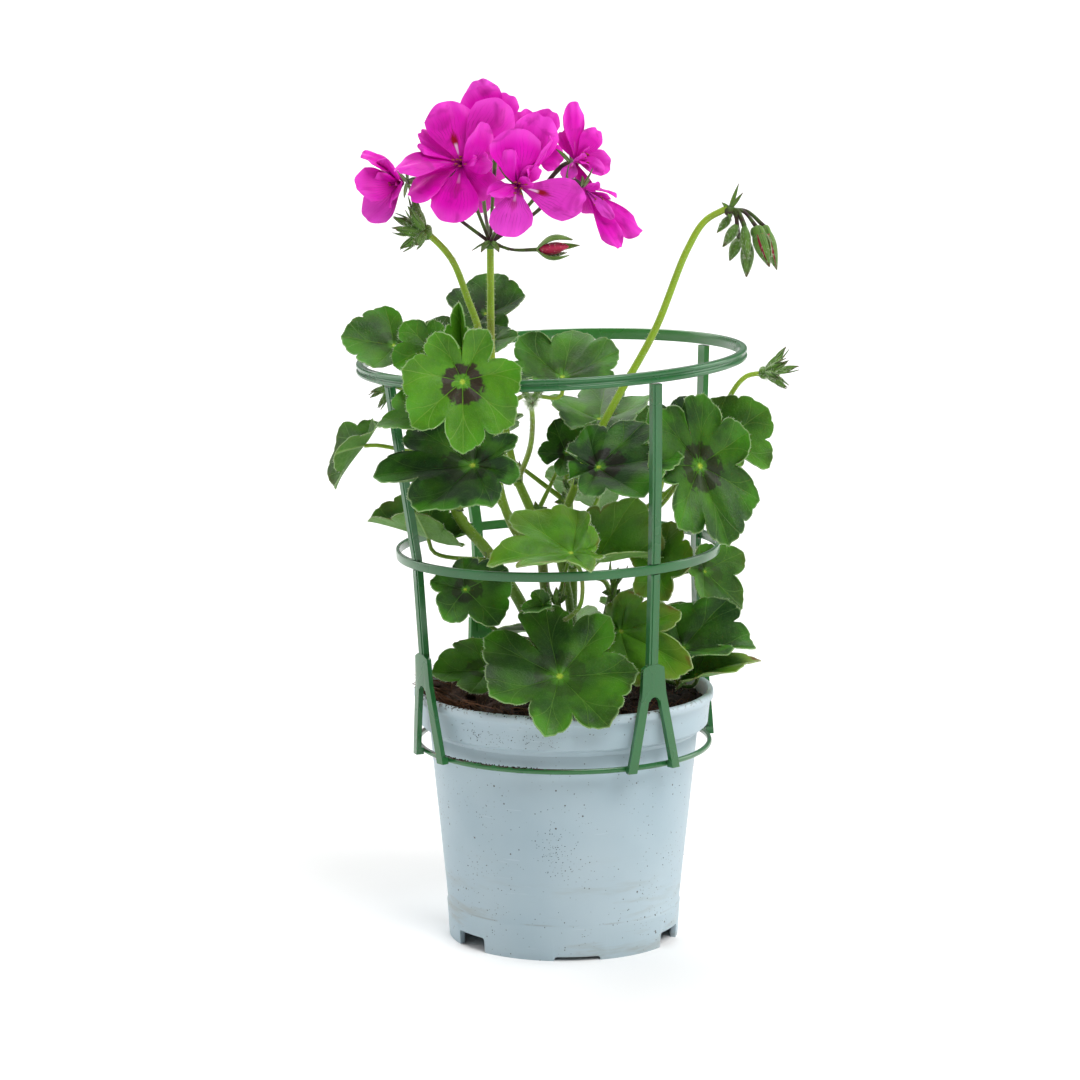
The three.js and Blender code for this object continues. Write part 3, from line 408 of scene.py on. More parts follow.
# Live petal: velvety magenta with a fan of fine darker veins, a red blotch and a pale streak near some claws.
def petalSkin():
    material, add = newMaterial("live_magenta_petal", IOR=1.34, Sheen_Weight=0.05, Sheen_Roughness=0.5,
            Sheen_Tint="#ff50e0", Specular_IOR_Level=0.3, Subsurface_Weight=0.07, Subsurface_Scale=0.0012)
    polar = add("SeparateXYZ", add("UVMap", uv_map="petalMap")).node
    along, across = (polar.outputs["X"], polar.outputs["Y"])
    place, mark = (add("TexCoord", out="Object"), add("Attribute", attribute_name="mark", out="Fac"))
    cloudy = add("TexNoise", place, 70, 4)
    base = add("Mix", cloudy, "#c0009a", "#ef0acb")
    # Painted light: petals with more pale are painted paler and lighter, as if lit from the front.
    base = tinted(add, base, "#dd52d2", add("Attribute", attribute_name="pale", out="Fac"), 0.6)
    # Painted light: the outer part of each petal is painted lighter, as a glow of light through its thin rim.
    base = tinted(add, base, "#ff58e6", add("MapRange", along, 0.7, 1.0, 0, 0.45))
    wander = add("Math", add("Math", add("TexNoise", place, 130, 3), 0.5, operation="SUBTRACT"), 0.22)
    spread = add("Math", add("Math", across, wander, operation="ADD"), 13.0)
    vein = add("MapRange", distanceFromWhole(add, spread), 0.14, 0.02)
    faint = patches(add, place, 200, 2, 0.36, 0.62)
    vein = add("Math", add("Math", vein, faint), add("MapRange", along, 1.0, 0.25, 0.05, 1))
    base = tinted(add, base, "#760054", vein, 0.75)
    # Darker patches at random, which deepen the darker tones of the petals.
    darkerPatches = add("MapRange", add("TexNoise", place, 95, 3, 0.5, 2, 1.0), 0.5, 0.7)
    base = tinted(add, base, "#a0007c", darkerPatches, 0.55)
    # Painted shade: the foot of each petal is painted darker, deep in the middle of the bloom.
    base = tinted(add, base, "#5e0646", add("MapRange", along, 0.2, 0.02, 0, 0.8))
    middle = add("Math", add("Math", across, 0.5, operation="SUBTRACT"), operation="ABSOLUTE")
    # The blotch is a flame: its edges run out along the veins.
    fan = add("CombineXYZ", add("Math", along, 4.0), add("Math", across, 26.0))
    flame = add("Math", add("Math", add("TexNoise", fan, 1, 3), 0.5, operation="SUBTRACT"), 0.3)
    reach = add("Math", add("Math", along, flame, operation="ADD"), add("Math", middle, 0.9),
            operation="ADD")
    ragged = add("Math", middle, add("Math", flame, 0.35), operation="ADD")
    blotch = add("Math", add("MapRange", ragged, 0.16, 0.04),
            add("Math", add("MapRange", along, 0.22, 0.34), add("MapRange", reach, 0.64, 0.38)))
    base = tinted(add, base, "#8e001c", add("MapRange", blotch, 0, 0.9), mark)
    streak = add("Math", add("MapRange", middle, 0.09, 0.03),
            add("Math", add("MapRange", along, 0.14, 0.2), add("MapRange", along, 0.36, 0.3)))
    base = tinted(add, base, "#e9bfe2", streak, mark)
    height = add("Math", add("TexNoise", place, 420, 4), add("Math", vein, 0.8), operation="SUBTRACT")
    return finished(material, base, 0.48, height, 0.4, 0.25 * mm)


# The rolled petals of the opening bud.
def budPetals():
    material, add = newMaterial("live_rolled_petal", IOR=1.38, Sheen_Weight=0.15, Sheen_Tint="#ff9ab0",
            Subsurface_Weight=0.15, Subsurface_Scale=0.0015)
    along = add("SeparateXYZ", add("UVMap", uv_map="budMap")).node
    twist = add("Math", add("Math", along.outputs["X"], 3.0), along.outputs["Y"], operation="ADD")
    seam = add("Math", add("Math", add("Math", twist, operation="FRACT"), 0.5, operation="SUBTRACT"),
            operation="ABSOLUTE")
    base = add("Mix", add("TexNoise", add("TexCoord", out="Object"), 300, 3), "#a50f33", "#cf3a66")
    base = tinted(add, base, "#5e0a20", add("MapRange", seam, 0.08, 0.0))
    return finished(material, base, 0.42, seam, 0.5, 0.3 * mm)


# Pollen sacs on the stamens.
def anther():
    material, add = newMaterial("live_anther")
    base = add("Mix", add("TexNoise", add("TexCoord", out="Object"), 900, 2), "#6a1522", "#b9532f")
    return finished(material, base, 0.7)


blueGreyPlastic, greenPlastic = pottedPlastic(), supportPlastic()
peat, fibre = peatSoil(), peatFibre()
upperFace, lowerFace, greenStalk, darkStalk = leafUpper(), leafUnder(), stalkGreen(), stalkDark()
sepalSkin, hair, petalFace, rolledPetal, pollen = budSkin(), downHair(), petalSkin(), budPetals(), anther()
print("materials made")


def gridSheet(name, rows, columns, place, uvMaps):
    # A grid with its points set by place(along, across), each from 0 to 1. uvMaps gives a map's two numbers.
    deselectAll()
    bpy.ops.mesh.primitive_grid_add(x_subdivisions=rows, y_subdivisions=columns, size=1)
    piece = bpy.context.object
    piece.name = name
    mesh = piece.data
    flat = [(v.co.x + 0.5, v.co.y + 0.5) for v in mesh.vertices]
    while mesh.uv_layers:
        mesh.uv_layers.remove(mesh.uv_layers[0])
    for mapName, formula in uvMaps.items():
        layer = mesh.uv_layers.new(name=mapName)
        values = [formula(*point) for point in flat]
        for loop in mesh.loops:
            layer.uv[loop.index].vector = values[loop.vertex_index]
    for vertex, point in zip(mesh.vertices, flat):
        vertex.co = place(*point) * mm
    return piece


def mapped(value, low, high, toLow, toHigh):
    return toLow + (toHigh - toLow) * (value - low) / (high - low)


def setTraits(piece, **values):
    for name, value in values.items():
        layer = piece.data.attributes.new(name, "FLOAT", "POINT")
        layer.data.foreach_set("value", [value] * len(piece.data.vertices))


def thicken(piece, thickness, facing, *faceMaterials):
    # Both faces of a sheet. The first material lies on the side that faces that way, the last on the other.
    clean(piece)
    upward = sum((p.normal * p.area for p in piece.data.polygons), Vector()).dot(facing)
    if upward < 0:
        bpy.ops.object.mode_set(mode="EDIT")
        bpy.ops.mesh.select_all(action="SELECT")
        bpy.ops.mesh.flip_normals()
        bpy.ops.object.mode_set(mode="OBJECT")
    for material in faceMaterials:
        piece.data.materials.append(material)
    applyModifier(piece, "SOLIDIFY", thickness=thickness * mm, offset=0.0,
            material_offset=len(faceMaterials) - 1)
    smooth(piece, 60)
    return piece


def curvePoints(points, count):
    # Points at even steps on a smooth curve through the given ones, with centripetal spacing.
    points = [Vector(p) for p in points]
    ends = [points[0] * 2 - points[1]] + points + [points[-1] * 2 - points[-2]]
    dense = []
    for p0, p1, p2, p3 in zip(ends, ends[1:], ends[2:], ends[3:]):
        t1 = (p1 - p0).length ** 0.5
        t2 = t1 + (p2 - p1).length ** 0.5
        t3 = t2 + (p3 - p2).length ** 0.5
        for step in range(12):
            t = t1 + (t2 - t1) * step / 12
            a1, a2, a3 = p0.lerp(p1, t / t1), p1.lerp(p2, (t - t1) / (t2 - t1)), p2.lerp(p3,
                    (t - t2) / (t3 - t2))
            b1, b2 = a1.lerp(a2, t / t2), a2.lerp(a3, (t - t1) / (t3 - t1))
            dense.append(b1.lerp(b2, (t - t1) / (t2 - t1)))
    dense.append(points[-1])
    far = [0.0]
    for a, b in zip(dense, dense[1:]):
        far.append(far[-1] + (b - a).length)
    result, k = [], 0
    for step in range(count + 1):
        want = far[-1] * step / count
        while k < len(far) - 2 and far[k + 1] < want:
            k += 1
        result.append(dense[k].lerp(dense[k + 1], (want - far[k]) / max(far[k + 1] - far[k], 1e-9)))
    return result


def stalk(name, points, radii, material, resolution=2, step=2.5):
    # A round stalk along a curve. The radii run from its foot to its end.
    length = sum((Vector(a) - Vector(b)).length for a, b in zip(points, points[1:]))
    count = max(4, int(length / step))
    deselectAll()
    bpy.ops.curve.primitive_nurbs_path_add()
    curve = bpy.context.object
    data = curve.data
    data.splines.clear()
    spline = data.splines.new("POLY")
    spline.points.add(count)
    for k, point in enumerate(curvePoints(points, count)):
        spot = k / count * (len(radii) - 1)
        low = min(int(spot), len(radii) - 2)
        spline.points[k].co = (*(point * mm), 1)
        spline.points[k].radius = radii[low] + (radii[low + 1] - radii[low]) * (spot - low)
    data.dimensions = "3D"
    data.bevel_depth = mm
    data.bevel_resolution = resolution
    data.use_fill_caps = True
    bpy.ops.object.convert(target="MESH")
    piece = bpy.context.object
    piece.name = name
    piece.data.materials.clear()
    piece.data.materials.append(material)
    smooth(piece, 60)
    return piece


def spun(name, profile, sides, material, center=(0, 0, 0), tilt=0.0):
    # A closed profile of radii and heights, spun round the upright axis.
    deselectAll()
    bpy.ops.mesh.primitive_circle_add(vertices=len(profile), radius=1)
    piece = bpy.context.object
    for vertex, (radius, height) in zip(piece.data.vertices, profile):
        vertex.co = (radius * mm, 0, height * mm)
    bpy.ops.object.mode_set(mode="EDIT")
    bpy.ops.mesh.select_all(action="SELECT")
    bpy.ops.mesh.spin(steps=sides, angle=fullTurn, center=(0, 0, 0), axis=(0, 0, 1))
    bpy.ops.object.mode_set(mode="OBJECT")
    clean(piece)
    piece.name = name
    piece.data.transform(Matrix.Translation(Vector(center) * mm)
            @ Matrix.Rotation(math.radians(-tilt), 4, "Y"))
    piece.data.materials.append(material)
    return piece


# The pot, in millimetres.
pot = {
    "height": 109.5, "lipRadius": 65.0, "footRadius": 49.9, "footLine": 15.7, "shoulderRadius": 58.2,
    "collarBottom": 94.3, "wall": 1.3, "floorHeight": 4.5, "sides": 120, "notches": 6, "notchTurn": 6.6,
}


def buildPot():
    lip, foot, top = pot["lipRadius"], pot["footRadius"], pot["height"]
    shoulder, collar, line = pot["shoulderRadius"], pot["collarBottom"], pot["footLine"]
    wall, floor = pot["wall"], pot["floorHeight"]
    quarter = [math.radians(degrees) for degrees in range(0, 91, 15)]
    rim = [(lip - 1.2 + 1.2 * math.cos(a), top - 1.7 + 1.7 * math.sin(a)) for a in quarter]
    outside = [(foot, 0), (foot + 0.9, line - 1.6), (foot + 1.0, line - 0.7), (foot + 0.6, line),
            (foot + 2.4, 34.0), (shoulder - 0.9, collar - 12), (shoulder, collar - 1),
            (shoulder + 0.8, collar - 0.2), (lip - 3.2, collar), (lip - 2.5, collar + 0.5),
            (lip - 1.9, top - 8.5), (lip - 1.5, top - 5), (lip - 0.5, top - 3.9), (lip, top - 3.2)]
    inside = [(lip - 2.3, top), (lip - 2.8, top - 0.6), (lip - 3, top - 1.5), (lip - 3.7, collar + 6),
            (lip - 4.2, collar - 1), (shoulder - wall, collar - 4), (foot - wall + 0.2, floor + wall),
            (0, floor + wall), (0, floor), (foot - wall - 0.8, floor), (foot - 2.4, 0)]
    piece = spun("pot", outside + rim[1:] + inside, pot["sides"], blueGreyPlastic)
    cutters = []
    for i in range(pot["notches"]):
        turn = math.radians(pot["notchTurn"] + i * 360 / pot["notches"])
        wide, high = (20, 1.8) if i == 0 else (18, 6.5)
        out = Vector((math.sin(turn), -math.cos(turn), 0))
        deselectAll()
        bpy.ops.mesh.primitive_cube_add(size=1, location=out * foot * mm, rotation=(0, 0, turn),
                                        scale=(wide * mm, 12 * mm, 2 * high * mm))
        cutters.append(bpy.context.object)
        applyModifier(cutters[-1], "BEVEL", width=1.5 * mm, segments=3)
        bpy.ops.mesh.primitive_cylinder_add(vertices=32, radius=4.5 * mm, depth=8 * mm,
                location=(out * 33 + Vector((0, 0, floor))) * mm)
        cutters.append(bpy.context.object)
    cutter = joined("cutter", cutters)
    applyModifier(piece, "BOOLEAN", operation="DIFFERENCE", solver="EXACT", object=cutter)
    bpy.data.objects.remove(cutter)
    clean(piece)
    applyModifier(piece, "BEVEL", width=0.25 * mm, segments=2, limit_method="ANGLE",
            angle_limit=math.radians(40))
    smooth(piece, 40)
    standsFor(piece, "pot_plastic", "pot")


buildPot()
print("pot built")

# The soil, in millimetres.
soil = {
    "top": 103.0, "radius": 61.2, "lowRadius": 48.6, "bottom": 6.1, "rings": 46, "sides": 150,
    "clods": 170, "fibres": 300,
}


def soilLift(x, y):
    heap = 8 * math.exp(-((x + 20) ** 2 + (y - 38) ** 2) / 700)
    heap += 4 * math.exp(-((x - 30) ** 2 + (y - 20) ** 2) / 500)
    heap += 6.5 * math.exp(-((x + 50) ** 2 + (y - 8) ** 2) / 260)
    return heap + 1.3 * math.sin(0.31 * x + 0.6) * math.cos(0.27 * y) + 0.8 * math.sin(0.53 * x - 0.47 * y)


def soilHeight(x, y):
    # The heap with its lumps and crumbs, which die away at the rim of the pot.
    spot = Vector((x, y, 0))
    lumps = 1.5 * fractal(spot * 0.11, 0.9, 2.1, 4) + 0.5 * fractal(spot * 0.55, 0.8, 2.2, 3)
    return soil["top"] + soilLift(x, y) + lumps * min(1, (soil["radius"] - spot.length) / 6 + 0.2)


def clod(rng, size, x, y, z):
    deselectAll()
    bpy.ops.mesh.primitive_ico_sphere_add(subdivisions=2, radius=size * mm)
    piece = bpy.context.object
    seed = Vector((rng.uniform(0, 99), rng.uniform(0, 99), 0))
    squash = rng.uniform(0.5, 0.8)
    for v in piece.data.vertices:
        v.co *= 1 + 0.45 * fractal(v.co / (size * mm) * 0.9 + seed, 0.8, 2.1, 3)
        v.co.z *= squash
    turned = Matrix.Rotation(rng.uniform(0, fullTurn), 4, "Z")
    piece.data.transform(Matrix.Translation(Vector((x, y, z)) * mm) @ turned)
    return piece


def spiltCrumbs():
    # Crumbs on the rim, the collar, the lowest ring and the wall: where, round from the front, and how large.
    rng = random.Random(21)
    crumbs = []
    lip, top = pot["lipRadius"], pot["height"]
    for i in range(520):
        if i < 170:
            degrees, far, size = rng.gauss(312, 26), rng.uniform(lip - 2.4, lip - 0.2), rng.uniform(0.12,
                    0.42)
            z = top - 1.7 + 1.7 * math.sqrt(1 - max(0, (far - lip + 1.2) / 1.2) ** 2)
        elif i < 260:
            degrees, z = rng.gauss(rng.choice((322, 332, 352)), 4), rng.gauss(99, 2.2)
            size = rng.uniform(0.1, 0.26)
            z = min(max(z, 95.2), 104)
            far = lip - 1.9 - 0.1 * (101 - z)
        elif i < 370:
            degrees, far, z, size = rng.uniform(300, 352), rng.uniform(62.6, 64), 87.2, rng.uniform(0.15,
                    0.5)
        else:
            near = i < 470
            degrees, z = (rng.gauss(356, 5), rng.gauss(50, 8)) if near else (rng.uniform(0, 360),
                    rng.uniform(20, 80))
            z, size = min(max(z, 20), 80), rng.uniform(0.09, 0.26)
            far = mapped(z, 34, pot["collarBottom"] - 12, pot["footRadius"] + 2.4,
                    pot["shoulderRadius"] - 0.9)
        turn = math.radians(degrees)
        place = Vector((far * math.sin(turn), -far * math.cos(turn), z))
        deselectAll()
        bpy.ops.mesh.primitive_ico_sphere_add(subdivisions=1, radius=size * mm, location=place * mm,
                                              rotation=(rng.uniform(0, 3), rng.uniform(0, 3), 0))
        crumbs.append(bpy.context.object)
        for v in crumbs[-1].data.vertices:
            v.co *= rng.uniform(0.6, 1.1)
    piece = joined("spilt_crumbs", crumbs)
    pick(piece)
    bpy.ops.object.transform_apply(location=True, rotation=True, scale=True)
    piece.data.materials.append(peat)
    return piece


def buildSoil():
    rng = random.Random(4)
    radius, rings = soil["radius"], soil["rings"]
    profile = [(0, soil["bottom"]), (soil["lowRadius"], soil["bottom"]), (56.6, 90.1), (60.4, 93.7)]
    profile += [(radius * (1 - i / rings), soil["top"]) for i in range(rings + 1)]
    piece = spun("soil", profile, soil["sides"], peat)
    for v in piece.data.vertices:
        if v.co.z > (soil["top"] - 0.01) * mm:
            v.co.z = soilHeight(v.co.x / mm, v.co.y / mm) * mm
    smooth(piece, 70)
    clods = []
    for i in range(soil["clods"]):
        turn, far = rng.uniform(0, fullTurn), 60 * math.sqrt(rng.uniform(0.02, 1))
        x, y = far * math.cos(turn), far * math.sin(turn)
        size = rng.uniform(0.6, 1.5) if i % 5 else rng.uniform(1.6, 2.8)
        if far + size > 59.5:
            x, y = x * 0.95, y * 0.95
        clods.append(clod(rng, size, x, y, soilHeight(x, y) + 0.2 * size))
    crumbs = joined("soil_crumbs", clods)
    crumbs.data.materials.append(peat)
    smooth(crumbs, 50)
    strands = []
    for i in range(soil["fibres"]):
        turn, far = rng.uniform(0, fullTurn), 60 * math.sqrt(rng.uniform(0.0, 0.95))
        foot = Vector((far * math.cos(turn), far * math.sin(turn), 0))
        foot.z = soilHeight(foot.x, foot.y)
        way = rng.uniform(0, fullTurn)
        length = rng.uniform(3, 9)
        rise = rng.uniform(0.5, 3.5)
        reach = Vector((math.cos(way), math.sin(way), 0)) * length
        middle, end = foot + reach * 0.5, foot + reach
        if end.xy.length > 59:
            continue
        middle.z = soilHeight(middle.x, middle.y) + rise
        end.z = soilHeight(end.x, end.y) + rise * rng.uniform(-0.2, 1.4)
        strands.append(stalk("fibre", [foot - Vector((0, 0, 0.5)), middle, end], [0.16, 0.13, 0.06], fibre,
                0, 1.6))
    for i in range(64):  # strands that lie over the rim, most of them at the left
        turn = math.radians(rng.gauss(276, 22) if i % 4 else rng.uniform(300, 375))
        spots = [(rng.uniform(48, 58), 0, 0.4),
                (rng.uniform(58.5, 62.5), rng.uniform(-0.16, 0.16), rng.uniform(7.5, 9.5)),
                (rng.uniform(60, 68), rng.uniform(-0.32, 0.32), rng.uniform(7, 11.5))]
        line = []
        for far, off, rise in spots:
            x, y = far * math.sin(turn + off), -far * math.cos(turn + off)
            line.append(Vector((x, y, soilHeight(x, y) + rise if not line else soil["top"] + rise)))
        strands.append(stalk("fibre", line, [0.24, 0.2, 0.08], fibre, 0, 1.6))
    standsFor(joined("soil", [piece, crumbs, spiltCrumbs()] + strands), "peat", "soil")


buildSoil()
print("soil built")

# The plant support, in millimetres; an upright has its angle from the front at its foot, middle and top.
support = {
    "sides": 144, "topRing": {"x": -5.4, "z": 252.3, "radius": 83.8, "tilt": 2.4},
    "middleRing": {"x": -2.6, "z": 170.3, "radius": 69.9, "tilt": 1.3},
    "lowerRing": {"x": 0, "z": 86, "radius": 64.4, "tilt": 0},
    "legFoot": 84.6, "forkTop": 129.0, "forkRadius": 68.8, "forkDepth": 2.2, "width": 4.7, "depth": 3.2,
    "gap": 0.3,
    "uprights": {"support_upright_front_right": (34.5, 36, 31.5),
        "support_upright_left": (-60.5, -61.5, -57), "support_upright_back_right": (116, 117, 125),
        "support_upright_back_left": (212, 212, 213)},
}
# The rings in section: how far out from their radius, and how high.
ringSections = {
    "topRing": [(-2.8, -2.2), (-0.7, -2.2), (0, -1.5), (0, -0.6), (-0.8, -0.1), (-0.8, 0.5), (0, 1.1),
        (0, 2.1), (-0.6, 2.7), (-2.8, 2.7)],
    "middleRing": [(-1.5, -2), (-0.1, -2), (0, 1.7), (-0.4, 2), (-1.5, 2)],
    "lowerRing": [(-2.1, -0.9), (-0.5, -1.25), (0, -0.4), (0, 0.4), (-0.5, 1.25), (-2.1, 0.9)],
}


def supportPoint(angle, z, radius):
    # A place on the support: an angle from the front, a height and a distance out from its leaning axis.
    middle, top = support["middleRing"], support["topRing"]
    lean = top["x"]
    if z <= 86:
        lean = 0
    elif z <= middle["z"]:
        lean = mapped(z, 86, middle["z"], 0, middle["x"])
    elif z <= top["z"]:
        lean = mapped(z, middle["z"], top["z"], middle["x"], top["x"])
    return Vector((lean + radius * math.sin(angle), -radius * math.cos(angle), z))


def ringPiece(name, ringName):
    ring = support[ringName]
    profile = [(ring["radius"] + r, z) for r, z in ringSections[ringName]]
    piece = spun(name, profile, support["sides"], greenPlastic, (ring["x"], 0, ring["z"]), ring["tilt"])
    applyModifier(piece, "BEVEL", width=0.35 * mm, segments=2, limit_method="ANGLE",
            angle_limit=math.radians(25))
    smooth(piece, 35)
    return piece


def plate(name, outline, depth, cuts, place):
    # A flat outline of (across, height), cut at the given places, given its depth and bent to its place.
    deselectAll()
    bpy.ops.mesh.primitive_circle_add(vertices=len(outline), radius=1, fill_type="NGON")
    piece = bpy.context.object
    for vertex, (s, z) in zip(piece.data.vertices, outline):
        vertex.co = (s * mm, 0, z * mm)
    bpy.ops.object.mode_set(mode="EDIT")
    for axis, spots in cuts.items():
        for spot in spots:
            bpy.ops.mesh.select_all(action="SELECT")
            bpy.ops.mesh.bisect(plane_co=(spot * mm, 0, spot * mm), plane_no=axis)
    bpy.ops.mesh.select_all(action="SELECT")
    bpy.ops.mesh.extrude_region_move(TRANSFORM_OT_translate={"value": (0, depth * mm, 0)})
    bpy.ops.object.mode_set(mode="OBJECT")
    for vertex in piece.data.vertices:
        vertex.co = place(vertex.co.x / mm, vertex.co.z / mm, vertex.co.y / mm) * mm
    clean(piece)
    piece.name = name
    return piece


def uprightPieces(name, degrees):
    angles = [math.radians(d) for d in degrees]
    top, middle, depth = support["topRing"], support["middleRing"], support["depth"]
    half, forkRadius = support["width"] / 2, support["forkRadius"]
    forkTop, legFoot = support["forkTop"], support["legFoot"]
    ringX = top["radius"] * math.sin(angles[2])
    stop = top["z"] + math.tan(math.radians(top["tilt"])) * ringX - 2.2 - support["gap"] - 0.25

    def stripPlace(s, z, inward):
        high = z > middle["z"]
        z0, z1 = (middle["z"], top["z"]) if high else (forkTop, middle["z"])
        a0, a1 = (angles[1], angles[2]) if high else (angles[0], angles[1])
        r0, r1 = (middle["radius"], top["radius"] - 0.2) if high else (forkRadius, middle["radius"])
        radius = mapped(z, z0, z1, r0, r1) - inward
        return supportPoint(mapped(z, z0, z1, a0, a1) + s / radius, z, radius)

    def forkPlace(s, z, inward):
        return supportPoint(angles[0] + s / forkRadius, z,
                mapped(z, legFoot, forkTop, forkRadius - 0.6, forkRadius) - inward)

    heights = [forkTop - 5 + 6 * i for i in range(int((stop - forkTop) / 6))]
    strip = plate("strip", [(-half, forkTop - 6), (half, forkTop - 6), (half, stop), (-half, stop)],
            depth - 0.5, {(0, 0, 1): heights}, lambda s, z, inward: stripPlace(s, z, inward + 0.5))
    rib = plate("rib", [(-1.2, forkTop - 4), (1.2, forkTop - 4), (1.2, stop - 0.4), (-1.2, stop - 0.4)],
            1.2, {(0, 0, 1): heights}, lambda s, z, inward: stripPlace(s, z, inward + 0.2))
    arch = [(2.6 * math.cos(math.radians(a)), 114 + 2.6 * math.sin(math.radians(a)))
            for a in range(20, 161, 20)]
    right = [(2.5, forkTop + 1.5), (5.4, forkTop), (6.2, 118), (13.6, legFoot), (9.4, legFoot), (2.9, 115)]
    outline = right + arch + [(-s, z) for s, z in reversed(right)]
    fork = plate("fork", outline, support["forkDepth"], {(1, 0, 0): range(-12, 13, 2)}, forkPlace)
    toes = []
    for side in (1, -1):
        toes.append(plate("toe", [(-1.9, legFoot), (1.9, legFoot), (1.9, legFoot + 3),
                (-1.9, legFoot + 3)], 3.4, {}, lambda s, z,
                inward: supportPoint(angles[0] + (side * 11.3 + s) / forkRadius, z, 64.7 + 3.4 - inward)))
    piece = strip
    for other in [rib, fork] + toes:
        applyModifier(piece, "BOOLEAN", operation="UNION", solver="EXACT", object=other)
        bpy.data.objects.remove(other)
    lap = spun("lap", [(middle["radius"] + r, z) for r,
            z in [(-1.8, -2.3), (2, -2.3), (2, 2.3), (-1.8, 2.3)]], 96, greenPlastic,
            (middle["x"], 0, middle["z"]), middle["tilt"])
    applyModifier(piece, "BOOLEAN", operation="DIFFERENCE", solver="EXACT", object=lap)
    bpy.data.objects.remove(lap)
    clean(piece, distance=1e-5)
    applyModifier(piece, "BEVEL", width=0.3 * mm, segments=2, limit_method="ANGLE",
            angle_limit=math.radians(40))
    piece.data.materials.clear()
    piece.data.materials.append(greenPlastic)
    piece.name = name
    smooth(piece, 35)
    standsFor(piece, "support_plastic", name)


for ringName in ringSections:
    nodeName = "support_" + ringName.replace("Ring", "_ring")
    standsFor(ringPiece(nodeName, ringName), "support_plastic", nodeName)
for uprightName, degrees in support["uprights"].items():
    uprightPieces(uprightName, degrees)
print("support built")

# What all leaf blades share.
leafShape = {
    "thickness": 0.55, "lobeDepth": 0.2, "largeRadius": 27, "sinusAngle": 2.86, "rows": 12,
    "columnsPerLobe": 26,
    "fineDepth": 0.27, "point": 0.035, "shoulder": 0.03, "quilting": 0.12, "closing": 1.115,
    "hairsPerMm": 1.7,
}


def lobesOf(leaf):
    return 7 if leaf["radius"] > leafShape["largeRadius"] else 5


def bladeAxes(leaf):
    out = Vector(leaf["face"]).normalized()
    along = Vector(leaf["tip"])
    along = (along - out * along.dot(out)).normalized()
    return along, out.cross(along), out


def bladePoint(leaf, rho, angle, fine=True):
    # Folds a flat lobed blade along its midrib, cups and waves its rim, and bends it down to the tip.
    along, across, out = bladeAxes(leaf)
    radius, base = leaf["radius"], leaf.get("base", 0.76)
    phase = angle / leafShape["sinusAngle"] * lobesOf(leaf) / 2
    heart = (1 + base + (1 - base) * math.cos(angle)) / 2
    lobe = abs(math.cos(phase * math.pi)) ** 0.55
    outline = heart * (1 - leafShape["lobeDepth"] + leafShape["lobeDepth"] * lobe)
    lifted = 0.0
    if fine:
        off = abs(phase - round(phase))
        uneven = 1 + 0.65 * math.sin(2.1 * math.floor(phase) + radius * 7 + leaf["at"][0])
        notch = 0.42 + 0.6 * max(0, uneven - 0.9)
        outline = 1 - leafShape["fineDepth"] * uneven * (1 - abs(math.cos(phase * math.pi)) ** notch)
        outline += leafShape["point"] * math.exp(-(off / 0.05) ** 2)
        outline -= leafShape["shoulder"] * math.exp(-((off - 0.24 - 0.05 * math.sin(3 * phase
                + radius)) / 0.035) ** 2)
        outline = heart * (1 - rho ** 3 * (1 - outline) - (1 - rho ** 3) * 0.1)
        # The blade is creased at each main vein and bulges between them; its rim ripples.
        lifted = radius * leafShape["quilting"] * rho * (1.35 - rho) * abs(math.sin(phase * math.pi))
        lifted += radius * 0.08 * rho ** 2.2 * math.sin(1.9 * phase + 5 * radius + leaf["at"][1])
        lifted += radius * 0.022 * rho ** 4 * math.sin(phase * fullTurn * 1.5 + 3 * radius)
        lifted += radius * 0.05 * rho ** 2 * fractal(Vector((rho * math.cos(angle), rho * math.sin(angle),
                radius)) * 1.6, 1, 2, 3)
        angle *= leafShape["closing"] - 0.04 * rho
    reach = rho * radius * outline
    u, v = reach * math.cos(angle), reach * math.sin(angle) * leaf.get("width", 1)
    crease, fold = 0.12 * radius, leaf.get("fold", 0.15)
    lift = (math.hypot(v, crease) - crease) * math.sin(fold) + lifted
    w = lift + radius * rho ** 2 * (leaf.get("cup", 0.1)
            + leaf.get("wave", 0.05) * math.sin(4 * angle + radius))
    bend = leaf.get("bend", 0.35)
    turn = bend / radius * u
    bentAlong, bentOut = (math.sin(turn) * radius / bend, (math.cos(turn) - 1) * radius / bend)
    return (Vector(leaf["at"]) + along * (bentAlong + w * math.sin(turn)) + across * (v * math.cos(fold))
            + out * (bentOut + w * math.cos(turn)))


def hairs(name, strands, thick=0.055):
    # Tapered white hairs, each from a root to a tip.
    deselectAll()
    bpy.ops.curve.primitive_nurbs_path_add()
    piece = bpy.context.object
    data = piece.data
    data.splines.clear()
    for root, tip in strands:
        spline = data.splines.new("POLY")
        spline.points.add(1)
        for point, place, radius in zip(spline.points, (root, tip), (thick, 0.25 * thick)):
            point.co, point.radius = (*(place * mm), 1), radius
    data.dimensions = "3D"
    data.bevel_depth = mm
    data.bevel_resolution = 0
    bpy.ops.object.convert(target="MESH")
    piece = bpy.context.object
    piece.name = name
    piece.data.materials.clear()
    piece.data.materials.append(hair)
    return piece


def anyWay(rng):
    return Vector((rng.gauss(0, 1), rng.gauss(0, 1), rng.gauss(0, 1))).normalized()


def downAlong(points, radius, perMm, rng):
    # Short hairs round a stalk of that radius.
    length = sum((Vector(a) - Vector(b)).length for a, b in zip(points, points[1:]))
    spots = curvePoints(points, max(4, int(length / 2)))
    strands = []
    for k in range(int(length * perMm)):
        i = rng.randrange(len(spots) - 1)
        heading = (spots[i + 1] - spots[i]).normalized()
        side = anyWay(rng).cross(heading).normalized()
        root = spots[i].lerp(spots[i + 1], rng.random()) + side * radius * 0.9
        strands.append((root, root + side * rng.uniform(0.5, 1.1) + heading * rng.uniform(-0.2, 0.3)))
    return strands


